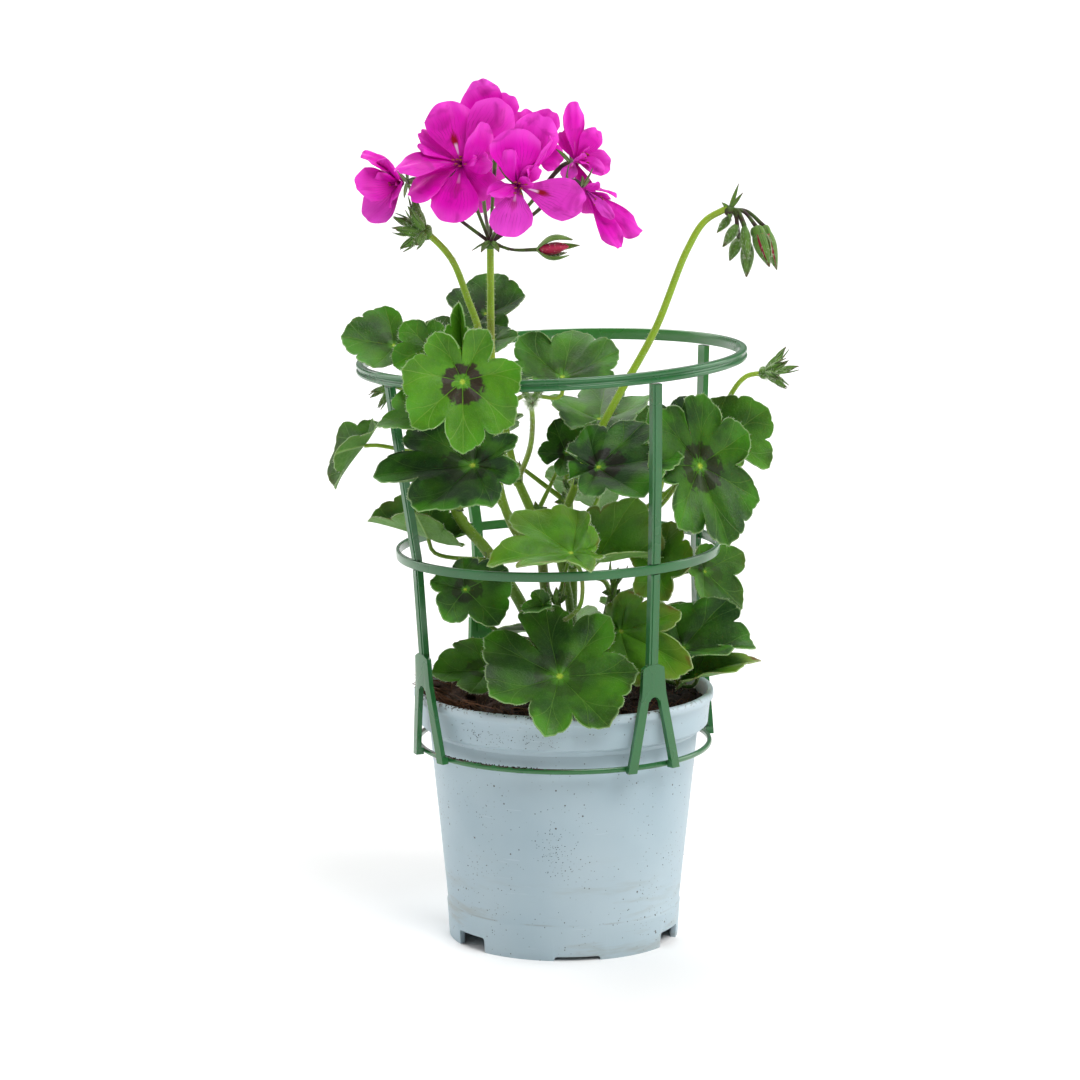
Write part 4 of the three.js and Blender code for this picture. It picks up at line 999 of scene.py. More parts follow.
def rimHairs(leaf, rng):
    strands, radius = [], leaf["radius"]
    for k in range(int(fullTurn * radius * leafShape["hairsPerMm"])):
        angle = rng.uniform(-1, 1) * leafShape["sinusAngle"]
        root = bladePoint(leaf, 0.99, angle)
        way = (root - bladePoint(leaf, 0.93, angle)).normalized() + anyWay(rng) * 0.35
        strands.append((root, root + way * rng.uniform(0.5, 1.15)))
    return strands


def leafPieces(name, leaf, rng):
    lobes, sinus = lobesOf(leaf), leafShape["sinusAngle"]
    radius = leaf["radius"]
    shift = Vector((rng.uniform(0, 50), rng.uniform(0, 50)))
    angleOf = lambda turn: (2 * turn - 1) * sinus
    rhoOf = lambda t: 1 - (1 - t) ** 1.15
    blade = gridSheet(name + "_blade", leafShape["rows"], leafShape["columnsPerLobe"] * lobes,
                      lambda t, turn: bladePoint(leaf, rhoOf(t), angleOf(turn)),
                      {"bladePolar": lambda t, turn: (rhoOf(t), angleOf(turn) / sinus * lobes / 2),
                       "bladeFlat": lambda t, turn: shift
                       + Vector((math.cos(angleOf(turn)),
                           math.sin(angleOf(turn)))) * rhoOf(t) * radius / 10})
    thicken(blade, leafShape["thickness"], Vector(leaf["face"]), upperFace, lowerFace)
    tone, zone, age, gloss = leaf.get("look", (0.4, 0.3, 0.1, 0.5))
    setTraits(blade, bladeSize=radius * 2 * sinus / lobes, tone=tone, zone=zone, age=age, gloss=gloss)
    along, across, out = bladeAxes(leaf)
    hang, thick = leaf.get("hang", 0.22), leaf.get("stalk", 1.1) * min(1, 0.55 + radius / 50)
    path = [Vector(p) for p in [leaf["from"]] + leaf.get("via", [])]
    if hang > 0:
        path.append(Vector(leaf["at"]) - out * hang * radius - along * 0.12 * radius)
        path.append(bladePoint(leaf, 0.05, 0, False) - out * 0.2)
    else:
        path.append(bladePoint(leaf, 0.28, sinus / lobes / 3, False))
    strands = rimHairs(leaf, rng) + downAlong(path, thick, 1.5, rng)
    return [blade, stalk(name + "_stalk", path, [thick * 1.2, thick * 0.85, thick * 0.8], greenStalk),
            hairs(name + "_hairs", strands)]


def frameOf(face):
    out = Vector(face).normalized()
    up = Vector((0, 1, 0)) if abs(out.z) > 0.9 else Vector((0, 0, 1))
    side = up.cross(out).normalized()
    return side, out.cross(side), out


def bud(name, foot, tip, radius, profile, ridges, material, twist=0.0):
    # A pointed body with lengthwise ridges. The profile gives places along it and their part of the radius.
    deselectAll()
    bpy.ops.mesh.primitive_uv_sphere_add(segments=20, ring_count=12, radius=1)
    piece = bpy.context.object
    foot, tip = Vector(foot), Vector(tip)
    side, up, along = frameOf(tip - foot)
    length = (tip - foot).length
    mesh = piece.data
    mesh.uv_layers[0].name = "budMap"
    for v in mesh.vertices:
        t = math.acos(max(-1, min(1, -v.co.z))) / math.pi
        turn = math.atan2(v.co.y, v.co.x)
        k = 0
        while k < len(profile) - 2 and profile[k + 1][0] < t:
            k += 1
        (t0, r0), (t1, r1) = profile[k], profile[k + 1]
        wide = mapped(t, t0, t1, r0, r1) * radius * (1 + 0.1 * math.cos(ridges * turn + twist * t))
        turn += twist * t
        v.co = (foot + along * t * length + side * wide * math.cos(turn) + up * wide * math.sin(turn)) * mm
    piece.name = name
    piece.data.materials.append(material)
    smooth(piece, 60)
    return piece


budProfile = [(0, 0), (0.06, 0.62), (0.2, 0.92), (0.4, 1), (0.6, 0.82), (0.78, 0.5), (0.92, 0.2), (1, 0)]


def sepal(name, root, tip, width, up, material, curl=0.0):
    # A pointed blade from its root to its tip, hollow along its middle.
    root, tip = Vector(root), Vector(tip)
    along = tip - root
    out = (Vector(up) - along.normalized() * Vector(up).dot(along.normalized())).normalized()
    side = along.normalized().cross(out)

    def place(t, s):
        half = width / 2 * (0.45 + 0.55 * math.sin(math.pi * min(1, t * 1.6 + 0.1) / 2)) * max(0.02,
                1 - t ** 2.2)
        q = 2 * s - 1
        hollow = 0.35 * half * q * q + curl * along.length * math.sin(math.pi * t / 2) ** 2
        return root + along * t + side * q * half + out * hollow
    piece = gridSheet(name, 8, 4, place, {"budMap": lambda t, s: (s, t)})
    return thicken(piece, 0.35, out, material)


def budHairs(foot, tip, radius, count, rng):
    along = Vector(tip) - Vector(foot)
    side, up, out = frameOf(along)
    strands = []
    for k in range(count):
        t, spin = rng.uniform(0.1, 0.95), rng.uniform(0, fullTurn)
        off = side * math.cos(spin) + up * math.sin(spin)
        root = Vector(foot) + along * t + off * radius * 0.9 * math.sin(math.pi * (0.15 + 0.75 * t))
        strands.append((root, root + (off + out * 0.6 + anyWay(rng) * 0.4) * rng.uniform(0.7, 1.9)))
    return strands


def hangingBuds(name, cluster, rng):
    # Buds on arched dark stalks, some of them splitting to show the petals; bracts stand on the joint.
    joint, strands = Vector(cluster["at"]), []
    pieces = [bud(name + "_joint", joint - Vector((2.6, 0, 1.2)), joint + Vector((3.2, 0, 0.2)), 2.2,
            budProfile, 5, darkStalk)]
    for foot, tip, radius, shows in cluster["buds"]:
        foot, tip = Vector(foot), Vector(tip)
        along = (tip - foot).normalized()
        arch = joint.lerp(foot, 0.45) + Vector((0.8, 0, 2.2))
        pieces.append(stalk(name + "_bud_stalk", [joint + Vector((1, 0, 0)), arch, foot + along * 0.4],
                [0.85, 0.75, 1.0], darkStalk, 2, 1.2))
        pieces.append(bud(name + "_bud", foot, tip, radius, budProfile, 3,
                rolledPetal if shows else sepalSkin, 0.6))
        if shows:
            pieces.append(bud(name + "_cap", foot - along * 0.5, foot + along * 8, radius, budProfile, 3,
                    sepalSkin))
        side, up, out = frameOf(along)
        for k in range(5):
            turn = k * fullTurn / 5 + radius
            off = side * math.cos(turn) + up * math.sin(turn)
            width = radius * (1.12 if shows else 1.3)
            belly = foot + along * (tip - foot).length * 0.45 + off * radius * 1.02
            pieces.append(hugging(name + "_sepal", foot, belly, tip + along * rng.uniform(0, 1), off,
                    width))
        strands += budHairs(foot, tip, radius * 1.1, 130, rng)
    for tip in cluster["bracts"]:
        pieces.append(sepal(name + "_bract", joint, tip, 2.0, (0, -1, 0.2), sepalSkin, 0.05))
    pieces.append(hairs(name + "_hairs", strands))
    return pieces


def hugging(name, foot, belly, tip, off, width):
    # A sepal that follows the belly of a bud from its foot to its point.
    along = (tip - foot).normalized()
    side = along.cross(off)
    rise = (belly - foot).dot(off)

    def place(t, s):
        q = 2 * s - 1
        half = width / 2 * math.sin(math.pi * min(1, t * 1.7 + 0.3) / 2) * max(0.03, 1 - t ** 3)
        swell = rise * (1.1 * math.sin(math.pi * t ** 0.8) + 0.06)
        return foot + along * t * (tip - foot).length + off * (swell - 0.3 * half * q * q) + side * q * half
    piece = gridSheet(name, 12, 4, place, {"budMap": lambda t, s: (0.1 + 0.8 * s, t)})
    return thicken(piece, 0.3, off, sepalSkin)


def budCluster(name, cluster):
    rng = random.Random(name)
    if "buds" in cluster:
        return hangingBuds(name, cluster, rng)
    side, up, out = frameOf(cluster["heading"])
    at, count, radius = Vector(cluster["at"]), cluster["count"], cluster["radius"]
    golden, heart = 2.39996, radius * 1.25
    pieces = [bud(name + "_heart", at - out * heart, at + out * heart, heart, budProfile, 5, sepalSkin)]
    strands = []
    for i in range(count):
        lean, turn = cluster["spread"] * math.sqrt((i + 0.5) / count), golden * i
        reach = cluster["length"] * (1 - 0.22 * ((i * 7) % 3) / 2)
        way = out * math.cos(lean) + (side * math.cos(turn) + up * math.sin(turn)) * math.sin(lean)
        foot, tip = at + way * 0.3 * heart, at + way * reach
        pieces.append(bud(name + "_bud", foot, tip, 0.86 * radius, budProfile, 5, sepalSkin, 0.5))
        across = way.cross(out).normalized() if lean > 0.05 else side
        for k in range(3):  # free tips of the sepals
            spin = k * fullTurn / 3 + i
            off = across * math.cos(spin) + way.cross(across) * math.sin(spin)
            root = at + way * reach * 0.55 + off * radius * 0.6
            pieces.append(sepal(name + "_tip", root, at + way * reach * 1.1 + off * radius * 0.5,
                    radius * 0.85, off, sepalSkin))
        strands += budHairs(foot, tip, 0.9 * radius, cluster.get("down", 55), rng)
    for k in range(cluster.get("down", 40) * 5):
        way = anyWay(rng)
        strands.append((at + way * heart * 0.7,
                at + way * (heart + rng.uniform(0.6, 1.6 + cluster.get("down", 40) / 60))))
    pieces.append(hairs(name + "_hairs", strands))
    if "from" in cluster:
        pieces.append(stalk(name + "_stalk", [cluster["from"], cluster["at"]], [0.9, 0.8], greenStalk))
    return pieces


# What all petals share.
petalShape = {"thickness": 0.35, "layerLift": 0.1, "width": 0.39, "rows": 18, "columns": 16}


def coneLine(bloom, degrees, length, start, spread):
    # A petal that rises from the middle and leans outward, all round the bloom.
    side, up, out = frameOf(bloom["face"])
    radial = side * math.cos(math.radians(degrees)) + up * math.sin(math.radians(degrees))
    bow = spread - start

    def line(path):
        lean = start + bow * path
        centre = Vector(bloom["at"]) + radial * length * (math.cos(start) - math.cos(lean)) / bow
        centre += out * length * (math.sin(lean) - math.sin(start)) / bow
        return centre, out.cross(radial), out * math.sin(lean) - radial * math.cos(lean)
    return line


def spanLine(bloom, tip, face, bow):
    # A petal from the middle of the bloom to its own tip, arched towards the way it faces.
    span = Vector(tip)
    along = span.normalized()
    normal = (Vector(face) - along * Vector(face).dot(along)).normalized()
    across = normal.cross(along)

    def line(path):
        arch = bow * (4 * path * (1 - path) - 0.5 * path ** 4)
        return Vector(bloom["at"]) + (span + normal * span.length * arch / path if path
                else span) * path, across, normal
    return line


def petalPiece(name, line, length, half, mark, pale, rng):
    phase, sway, dent = rng.uniform(0, fullTurn), rng.uniform(-0.06, 0.06), rng.uniform(0.0, 0.06)

    def place(t, s):
        q = 2 * s - 1
        path = t * (1 - 0.25 * abs(q) ** 2.4 - dent * math.exp(-(q / 0.25) ** 2))
        centre, across, normal = line(path)
        swell = min(1, path / 0.66)
        h = half * (0.1 + 0.9 * swell * swell * (3 - 2 * swell)) * (1 - 0.1 * max(0, path - 0.75) / 0.25)
        hollow = (1 - q * q) * (0.09 * path ** 2 - 0.16 * path * (1 - path))
        ripple = 0.045 * path ** 2 * math.sin(4.2 * q + phase) + 0.022 * path ** 3 * math.sin(9 * q
                + 2 * phase)
        ripple += 0.03 * path * fractal(Vector((2.2 * path, 1.6 * q, phase)), 1, 2, 3)
        raised = length * (petalShape["layerLift"] * q * path + hollow + ripple)
        return centre + across * (q * h + sway * length * path ** 2) + normal * raised
    piece = gridSheet(name, petalShape["rows"], petalShape["columns"], place,
            {"petalMap": lambda t, s: (t, s)})
    thicken(piece, petalShape["thickness"], line(0.5)[2], petalFace)
    setTraits(piece, mark=mark, pale=pale)
    return piece


def bloomPiece(name, bloom):
    rng = random.Random(name)
    size, start, spread = bloom["size"], bloom.get("start", 0.85), bloom.get("spread", 1.6)
    side, up, out = frameOf(bloom["face"])
    pieces = []
    for tip, face, width, bow, mark, pale in bloom.get("petals", []):
        pieces.append(petalPiece(name + "_petal", spanLine(bloom, tip, face, bow), Vector(tip).length,
                width / 2, mark, pale, rng))
    if not pieces:
        for degrees, mark in zip((18, 90, 162, 234, 306), (0.3, 1, 0, 0.15, 0.2)):
            line = coneLine(bloom, degrees, size, start + rng.uniform(-0.08, 0.08),
                    spread + rng.uniform(-0.12, 0.12))
            half = petalShape["width"] * size * rng.uniform(0.93, 1.06)
            pieces.append(petalPiece(name + "_petal", line, size, half, mark, 0.5 * rng.random(), rng))
    for degrees in (30, 215, 95, 270,
            150)[:bloom.get("curled", 5)]:  # small curled petals of the inner layer
        length = rng.uniform(0.3, 0.55) * size
        line = coneLine(bloom, degrees + rng.uniform(-25, 25), length, rng.uniform(0.1, 0.45) * start,
                rng.uniform(0.45, 1.15) * spread)
        pieces.append(petalPiece(name + "_inner", line, length, rng.uniform(0.18, 0.3) * length, 0,
                0.3 * rng.random(), rng))
    for k in range(7):  # stamens
        angle = (k + 0.5) * fullTurn / 7
        root = Vector(bloom["at"]) + out * 0.5
        way = (out + (side * math.cos(angle) + up * math.sin(angle)) * rng.uniform(0.15, 0.5)).normalized()
        tip = root + way * size * rng.uniform(0.2, 0.34)
        pieces.append(stalk(name + "_stamen", [root, root.lerp(tip, 0.5) + out * 0.2, tip],
                [0.28, 0.2, 0.16], petalFace, 0))
        pieces.append(bud(name + "_anther", tip - side * 0.8, tip + side * 0.8, 0.4, budProfile, 2, pollen))
    standsFor(joined(name, pieces), "petal", name)


def calyxPieces(bloom, umbel, rng):
    side, up, out = frameOf(bloom["face"])
    at = Vector(bloom["at"])
    seat = at - out * 0.6
    start = umbel + (at - umbel).normalized() * 0.8
    rear = seat - out * 6
    middle = start.lerp(rear, 0.5) + Vector((0, 0, -1.5))
    pieces = [stalk("flower_stalk", [start, middle, rear, seat - out * 1.1], [0.85, 0.75, 0.95, 1.2],
            darkStalk, 2, 1.5)]
    for k in range(5):
        turn = rng.uniform(-0.2, 0.2) + k * fullTurn / 5
        way = side * math.cos(turn) + up * math.sin(turn)
        root = seat - out * 1.6 + way * 0.7
        tip = seat + way * rng.uniform(9, 12) - out * rng.uniform(1.5, 4)
        pieces.append(sepal("calyx_sepal", root, tip, 2.8, out, sepalSkin, 0.05))
    return pieces


# The opening bud; each sepal has its turn, its length, how far its tip stands off and its width.
openingBud = {
    "foot": (-11, -14, 301), "tip": (2, -16, 302.5), "radius": 2.6,
    "sepals": [(58, 15.5, 3.2, 4.4), (-60, 14, 3.8, 4.2), (122, 15, 2.6, 4.2), (180, 18.5, 0.2, 4),
        (238, 13, 3, 4.2)],
}


def openingBudSepals():
    foot, tip = Vector(openingBud["foot"]), Vector(openingBud["tip"])
    along = (tip - foot).normalized()
    seat = foot - along * 0.65
    pieces = [stalk("opening_bud_stalk", [umbel, (-22, -10, 300.5), seat], [0.8, 0.65, 0.9], darkStalk, 2,
            1.5)]
    for turn, length, gape, width in openingBud["sepals"]:
        off = Vector((0, -math.cos(math.radians(turn)), math.sin(math.radians(turn))))
        belly = seat + along * 5 + off * (openingBud["radius"] + 0.6)
        pieces.append(hugging("opening_bud_sepal", seat, belly, seat + along * length + off * gape, off,
                width))
    pieces.append(hairs("opening_bud_hairs", budHairs(seat, seat + along * 13, 3.6, 90, random.Random(3))))
    return pieces


def openingBudPiece():
    profile = [(0, 0), (0.08, 0.55), (0.2, 0.85), (0.42, 1), (0.62, 0.9), (0.8, 0.6), (0.93, 0.3), (1, 0)]
    core = bud("opening_bud", openingBud["foot"], openingBud["tip"], openingBud["radius"], profile, 3,
            rolledPetal, 2.2)
    standsFor(core, "bud_petal", "opening_bud")


# A leaf's figures: the foot of its stalk, the middle of its blade, the ways its tip and face point, its
# radius, its look (how light, how strong its dark zone, how yellow, how glossy), and how its shape differs.
def leafRow(start, at, tip, face, radius, look, **shape):
    return {"from": start, "at": at, "tip": tip, "face": face, "radius": radius, "look": look, **shape}


stems = {
    "leafy_stem_left": {
        "paths": [
            {"points": [[-11, -4, 88], [-11, -4, 106], [-13, -5, 134], [-32, -8, 169], [-45, -12, 186],
                [-51, -18, 207]], "radius": 2.7},
            {"points": [[-45, -12, 186], [-51, -18, 207], [-56, -22, 230], [-58, -22, 248]], "radius": 1.9},
        ],
        "leaves": [
            leafRow([-46, -13, 190], [-38, -56, 215], [-1, -0.05, -0.1], [0, -0.75, 0.66], 39,
                (0.12, 0.6, 0, 0.6), via=[[-41, -33, 196]], width=0.82, base=0.45, bend=0.4, stalk=1.3),
            leafRow([-57, -22, 237], [-59, -58, 235.5], [-0.97, -0.1, -0.2], [0.05, -0.55, 0.83], 19,
                (0.45, 0.3, 0, 0.5), via=[[-58, -42, 237]], width=0.8, fold=0.3),
            leafRow([-52, -19, 212], [-84, -34, 221], [-0.62, 0.05, -0.78], [-0.78, -0.15, 0.6], 21,
                (0.3, 0.4, 0.1, 0.4), base=0.45, fold=0.6, wave=0.1, bend=0.6),
            leafRow([-30, -8, 166], [-57, -10, 176], [-0.92, 0.05, 0.3], [0.3, -0.35, 0.9], 27,
                (0.4, 0.4, 0.15, 0.4), base=0.5, fold=0.8),
            leafRow([-12, -5, 130], [-42, -43, 160], [0.5, -0.2, -0.6], [0, -0.7, 0.7], 21,
                (0.2, 0.7, 0, 0.5), via=[[-30, -26, 140]], base=0.6),
            leafRow([-57, -22, 240], [-72, -22, 261], [-0.9, 0, 0.15], [0.1, -0.75, 0.66], 21,
                (0.35, 0.3, 0, 0.5), base=0.5, fold=0.25),
            leafRow([-58, -22, 244], [-57, -38, 262], [-0.75, -0.1, -0.3], [-0.1, -0.75, 0.65], 16,
                (0.45, 0.2, 0, 0.5), base=0.6, fold=0.5),
            leafRow([-58, -22, 246], [-52, 2, 262], [-1, 0.15, 0.05], [0, -0.25, 1], 13,
                (0.3, 0.3, 0, 0.5)),
            leafRow([-11, -5, 112], [-33, -24, 121], [-0.95, -0.1, 0.15], [0.05, -0.6, 0.8], 23,
                (0.4, 0.5, 0.1, 0.4), via=[[-22, -14, 116]], base=0.5, width=0.8),
        ],
        "clusters": [
            {"from": [-57, -22, 238], "at": [-73, -27, 245], "heading": [-0.55, -0.2, -0.8], "spread": 0.9,
             "length": 11, "radius": 1.7, "count": 4},
        ],
    },
    "leafy_stem_flowering": {
        "paths": [
            {"points": [[-4, 6, 88], [-4, 6, 106], [-8, 5, 150], [-12, 5, 179], [-20, 5, 199]],
             "radius": 2.4},
            {"points": [[-20, 5, 197], [-25, 2, 222], [-26, -3, 240]], "radius": 1.6},
            {"points": [[-20, 5, 199], [-15, -10, 214], [-13.5, -32, 229], [-14, -51, 240]], "radius": 1.2},
            {"points": [[-9, 5, 162], [-22, -8, 181], [-28, -10, 200], [-29, -13, 222], [-31, -6, 250],
                [-31.5, -4.5, 303]], "radius": 1.9},
            {"points": [[-22, -8, 183], [-33, -12, 205], [-37, -14, 235], [-36, -12, 264], [-41, -14, 280],
                [-47.5, -18, 297], [-55, -20, 306], [-59, -20, 309]], "radius": 1.7},
        ],
        "leaves": [
            leafRow([-29, -13, 220], [-42, -82, 254], [0.02, -0.12, -1], [-0.05, -0.97, 0.2], 28,
                (0.75, 1, 0, 0.6), via=[[-33, -42, 241], [-40, -66, 242], [-41.5, -77, 242.5]], hang=0,
                cup=0.12, bend=0.2),
            leafRow([-37, -13, 248], [-43, -54, 264], [0.02, 0, 1], [-0.2, -0.9, 0], 20,
                (0.7, 0.1, 0, 0.5), fold=1.0, width=0.75, base=0.2, bend=-0.1, via=[[-40, -36, 256]]),
            leafRow([-30.7, -7.5, 246], [-34, 30, 268], [0, 0.66, 0.75], [0, -0.75, 0.66], 21,
                (0.15, 0.4, 0, 0.5), base=0.5, via=[[-33, 14, 258]]),
            leafRow([-30.3, -9.5, 240], [-30, 12, 259], [0.3, 0.4, 0.5], [-0.1, -0.6, 0.8], 11,
                (0.2, 0.3, 0, 0.5)),
            leafRow([-29, -12, 226], [-1, -42, 250], [0.15, 0.85, 0.5], [0, -0.5, 0.87], 30,
                (0.3, 0.35, 0, 0.5), fold=0.1, via=[[-18, -26, 240]], base=0.4, bend=0.15),
            leafRow([-12, 5, 184], [1, 12, 210], [0.7, 0.1, 0.65], [-0.1, -0.85, 0.5], 17,
                (0.2, 0.6, 0, 0.5), base=0.6),
            leafRow([-26, -3, 234], [-23, -10, 243], [0.5, -0.2, 0.8], [-0.5, -0.8, 0.3], 9,
                (0.7, 0, 0, 0.3), base=0.4, fold=0.7),
        ],
        "clusters": [
            {"at": [-59, -20, 309], "heading": [-0.75, -0.25, 0.1], "spread": 1.2, "length": 15,
             "radius": 2.6, "count": 7},
            {"at": [-14, -51, 241], "heading": [0, -0.5, 0.87], "spread": 1.3, "length": 8, "radius": 1.6,
             "count": 4, "down": 90},
        ],
    },
    "leafy_stem_right": {
        "paths": [
            {"points": [[6, 2, 88], [6, 2, 106], [2, -6, 150], [-3, -12, 178], [2.5, -14, 194],
                [11, -12, 215], [22, -10, 236], [38.6, -8, 266], [52, -8, 300], [59.6, -8, 312.5],
                [69, -8, 318]], "radius": 1.8},
            {"points": [[3, -9, 172], [30, -10, 186], [52, -8, 203], [66, -2, 224], [72, 0, 238],
                [78, 0, 245], [86, 0, 246.5]], "radius": 1.3},
        ],
        "leaves": [
            leafRow([5, -14, 200], [14, -36, 211], [1, 0, -0.05], [-0.2, -0.62, 0.75], 34,
                (0.1, 0.9, 0, 0.6), base=0.3, width=0.9),
            leafRow([12, -12, 216], [15, 1, 226], [0.1, 0.85, 0.4], [0, -0.45, 0.9], 27,
                (0.3, 0.3, 0, 0.5), base=0.5),
            leafRow([0, -10, 164], [21, -3, 174], [-0.1, 0.1, 1], [-0.2, -0.9, 0.1], 15,
                (0.2, 0.5, 0, 0.5), base=0.3, fold=0.5),
            leafRow([3, -9, 170], [57, -37, 212], [0.3, -0.15, -0.9], [0.15, -0.9, 0.3], 33,
                (0.3, 0.8, 0, 0.6), via=[[25, -18, 180], [42, -24, 194]], width=0.75, base=0.85, cup=0.16),
            leafRow([55, -7, 207], [70, -6, 219], [0.75, 0, -0.6], [0.2, -0.75, 0.6], 21,
                (0.35, 0.3, 0.1, 0.5), fold=0.5),
            leafRow([40, -9, 193], [48, 14, 219], [0.3, 0.3, 0.9], [-0.2, -0.85, 0.4], 15,
                (0.15, 0.5, 0, 0.5), fold=0.4),
        ],
        "clusters": [
            {"at": [70, -8, 317.5],
             "bracts": [[73.8, -8, 328.5], [75.6, -9, 324.7], [66.5, -9, 320.5], [69.8, -12, 312.5]],
             "buds": [[[70.6, -6, 314.6], [65.3, -8, 308], 1.4, False],  # foot, tip, radius, petals showing
                      [[73.3, -10, 311.4], [67.5, -12, 302.5], 1.8, False],
                      [[74.3, -4, 305], [70.6, -4, 295.8], 1.9, False],
                      [[76.2, -12, 311.3], [77, -14, 296.5], 1.9, False],
                      [[77.9, -5, 304.4], [77.5, -6, 289.1], 2.4, False],
                      [[81.2, -10, 310.5], [86.7, -13, 293.8], 3.1, True],
                      [[84.6, -6, 310.4], [90, -7, 292.2], 2.6, True]]},
            {"at": [86, 0, 246.5], "heading": [0.95, -0.2, 0.15], "spread": 1.1, "length": 13.5,
             "radius": 2.2, "count": 6},
        ],
    },
    "leafy_stem_low_right": {
        "paths": [
            {"points": [[14, -6, 88], [14, -6, 106], [17, -8, 135], [22, -10, 158]], "radius": 2},
        ],
        "leaves": [
            leafRow([19, -9, 145], [40, -30, 166], [0.2, 0.1, 0.95], [-0.1, -0.9, 0.35], 22,
                (0.55, 0.2, 0.5, 0.5), base=0.6, width=0.75),
            leafRow([20, -10, 152], [13, -36, 171], [0.95, 0.15, 0.25], [0, -0.6, 0.8], 31,
                (0.65, 0.15, 0.3, 0.6), base=0.35, fold=0.85, via=[[17, -22, 160]]),
            leafRow([15, -7, 120], [24, -27, 139], [0.75, 0.2, -0.6], [-0.35, -0.75, 0.55], 38,
                (0.65, 0.1, 0.6, 0.6), base=0.25, width=0.7, bend=0.15),
            leafRow([15, -7, 118], [51, -10, 128], [1, -0.1, 0.1], [-0.1, -0.55, 0.83], 30,
                (0.2, 0.3, 0, 0.7), base=0.35, fold=0.65),
            leafRow([14, -6, 110], [57, -4, 115], [0.95, -0.05, 0.3], [-0.3, -0.6, 0.75], 28,
                (0.5, 0.2, 0.8, 0.6), base=0.3, fold=0.7, via=[[34, -5, 115]]),
            leafRow([20, -9, 150], [61, 11, 158], [0.7, 0.05, -0.7], [0.5, -0.75, 0.45], 22,
                (0.3, 0.4, 0.1, 0.5), base=0.4, fold=0.4),
        ],
        "clusters": [
        ],
    },
    "leafy_stem_front": {
        "paths": [
            {"points": [[0, -14, 88], [0, -14, 106], [-1, -20, 125], [-3, -24, 152]], "radius": 1.9},
        ],
        "leaves": [
            leafRow([-1, -18, 117], [-2, -50, 124], [0.64, -0.57, -0.59], [0, -0.72, 0.69], 31.5,
                (0.25, 0.35, 0.05, 0.8), base=1.05, bend=0.2, cup=0.16),
            leafRow([-3, -23, 143], [3, -63, 179], [-1, -0.12, -0.05], [0.1, -0.35, 0.93], 35,
                (0.7, 0.15, 0.35, 0.8), base=0.3, via=[[2, -42, 148], [7, -54, 157]], bend=0.3),
            leafRow([-3, -24, 148], [-9, -46, 154], [-1, -0.1, -0.1], [0, -0.7, 0.7], 9,
                (0.4, 0.1, 0, 0.5), base=0.3, fold=0.5),
            leafRow([0, -15, 112], [-17, -26, 127], [0, 0, 1], [0.2, -0.9, 0.1], 8, (0.5, 0.1, 0, 0.5),
                base=0.2, fold=0.8),
            leafRow([-3, -24, 150], [4, -20, 171], [0.05, 0, 1], [0.4, -0.9, 0], 18, (0.55, 0.1, 0, 0.5),
                base=0.15, fold=1.1),
        ],
        "clusters": [
        ],
    },
    "leafy_stem_back": {
        "paths": [
            {"points": [[2, 20, 88], [2, 20, 106], [4, 26, 150], [2, 30, 190], [2, 30, 222]],
             "radius": 2.2},
        ],
        "leaves": [
            leafRow([2, 29, 185], [-35, 40, 213], [-0.5, 0.8, 0.1], [-0.3, 0.5, 0.8], 24,
                (0.3, 0.4, 0, 0.5)),
            leafRow([2, 30, 195], [24, 50, 214], [0.5, 0.8, -0.2], [0.3, 0.45, 0.85], 29,
                (0.25, 0.4, 0, 0.5)),
            leafRow([3, 28, 165], [16, 66, 187], [0, 0.9, -0.35], [0, 0.5, 0.85], 27, (0.35, 0.5, 0, 0.5)),
            leafRow([3, 24, 128], [36, 44, 130], [0.55, 0.75, -0.1], [0.2, 0.35, 0.9], 26,
                (0.3, 0.5, 0.1, 0.5)),
            leafRow([2, 20, 114], [-4, 50, 124], [-0.6, 0.8, 0.1], [-0.1, 0.15, 0.97], 27,
                (0.35, 0.4, 0.2, 0.5)),
        ],
        "clusters": [
            {"from": [2, 30, 178], "at": [3, 14, 191], "heading": [0, -0.5, 0.85], "spread": 0.9,
             "length": 8, "radius": 1.5, "count": 4},
        ],
    },
}
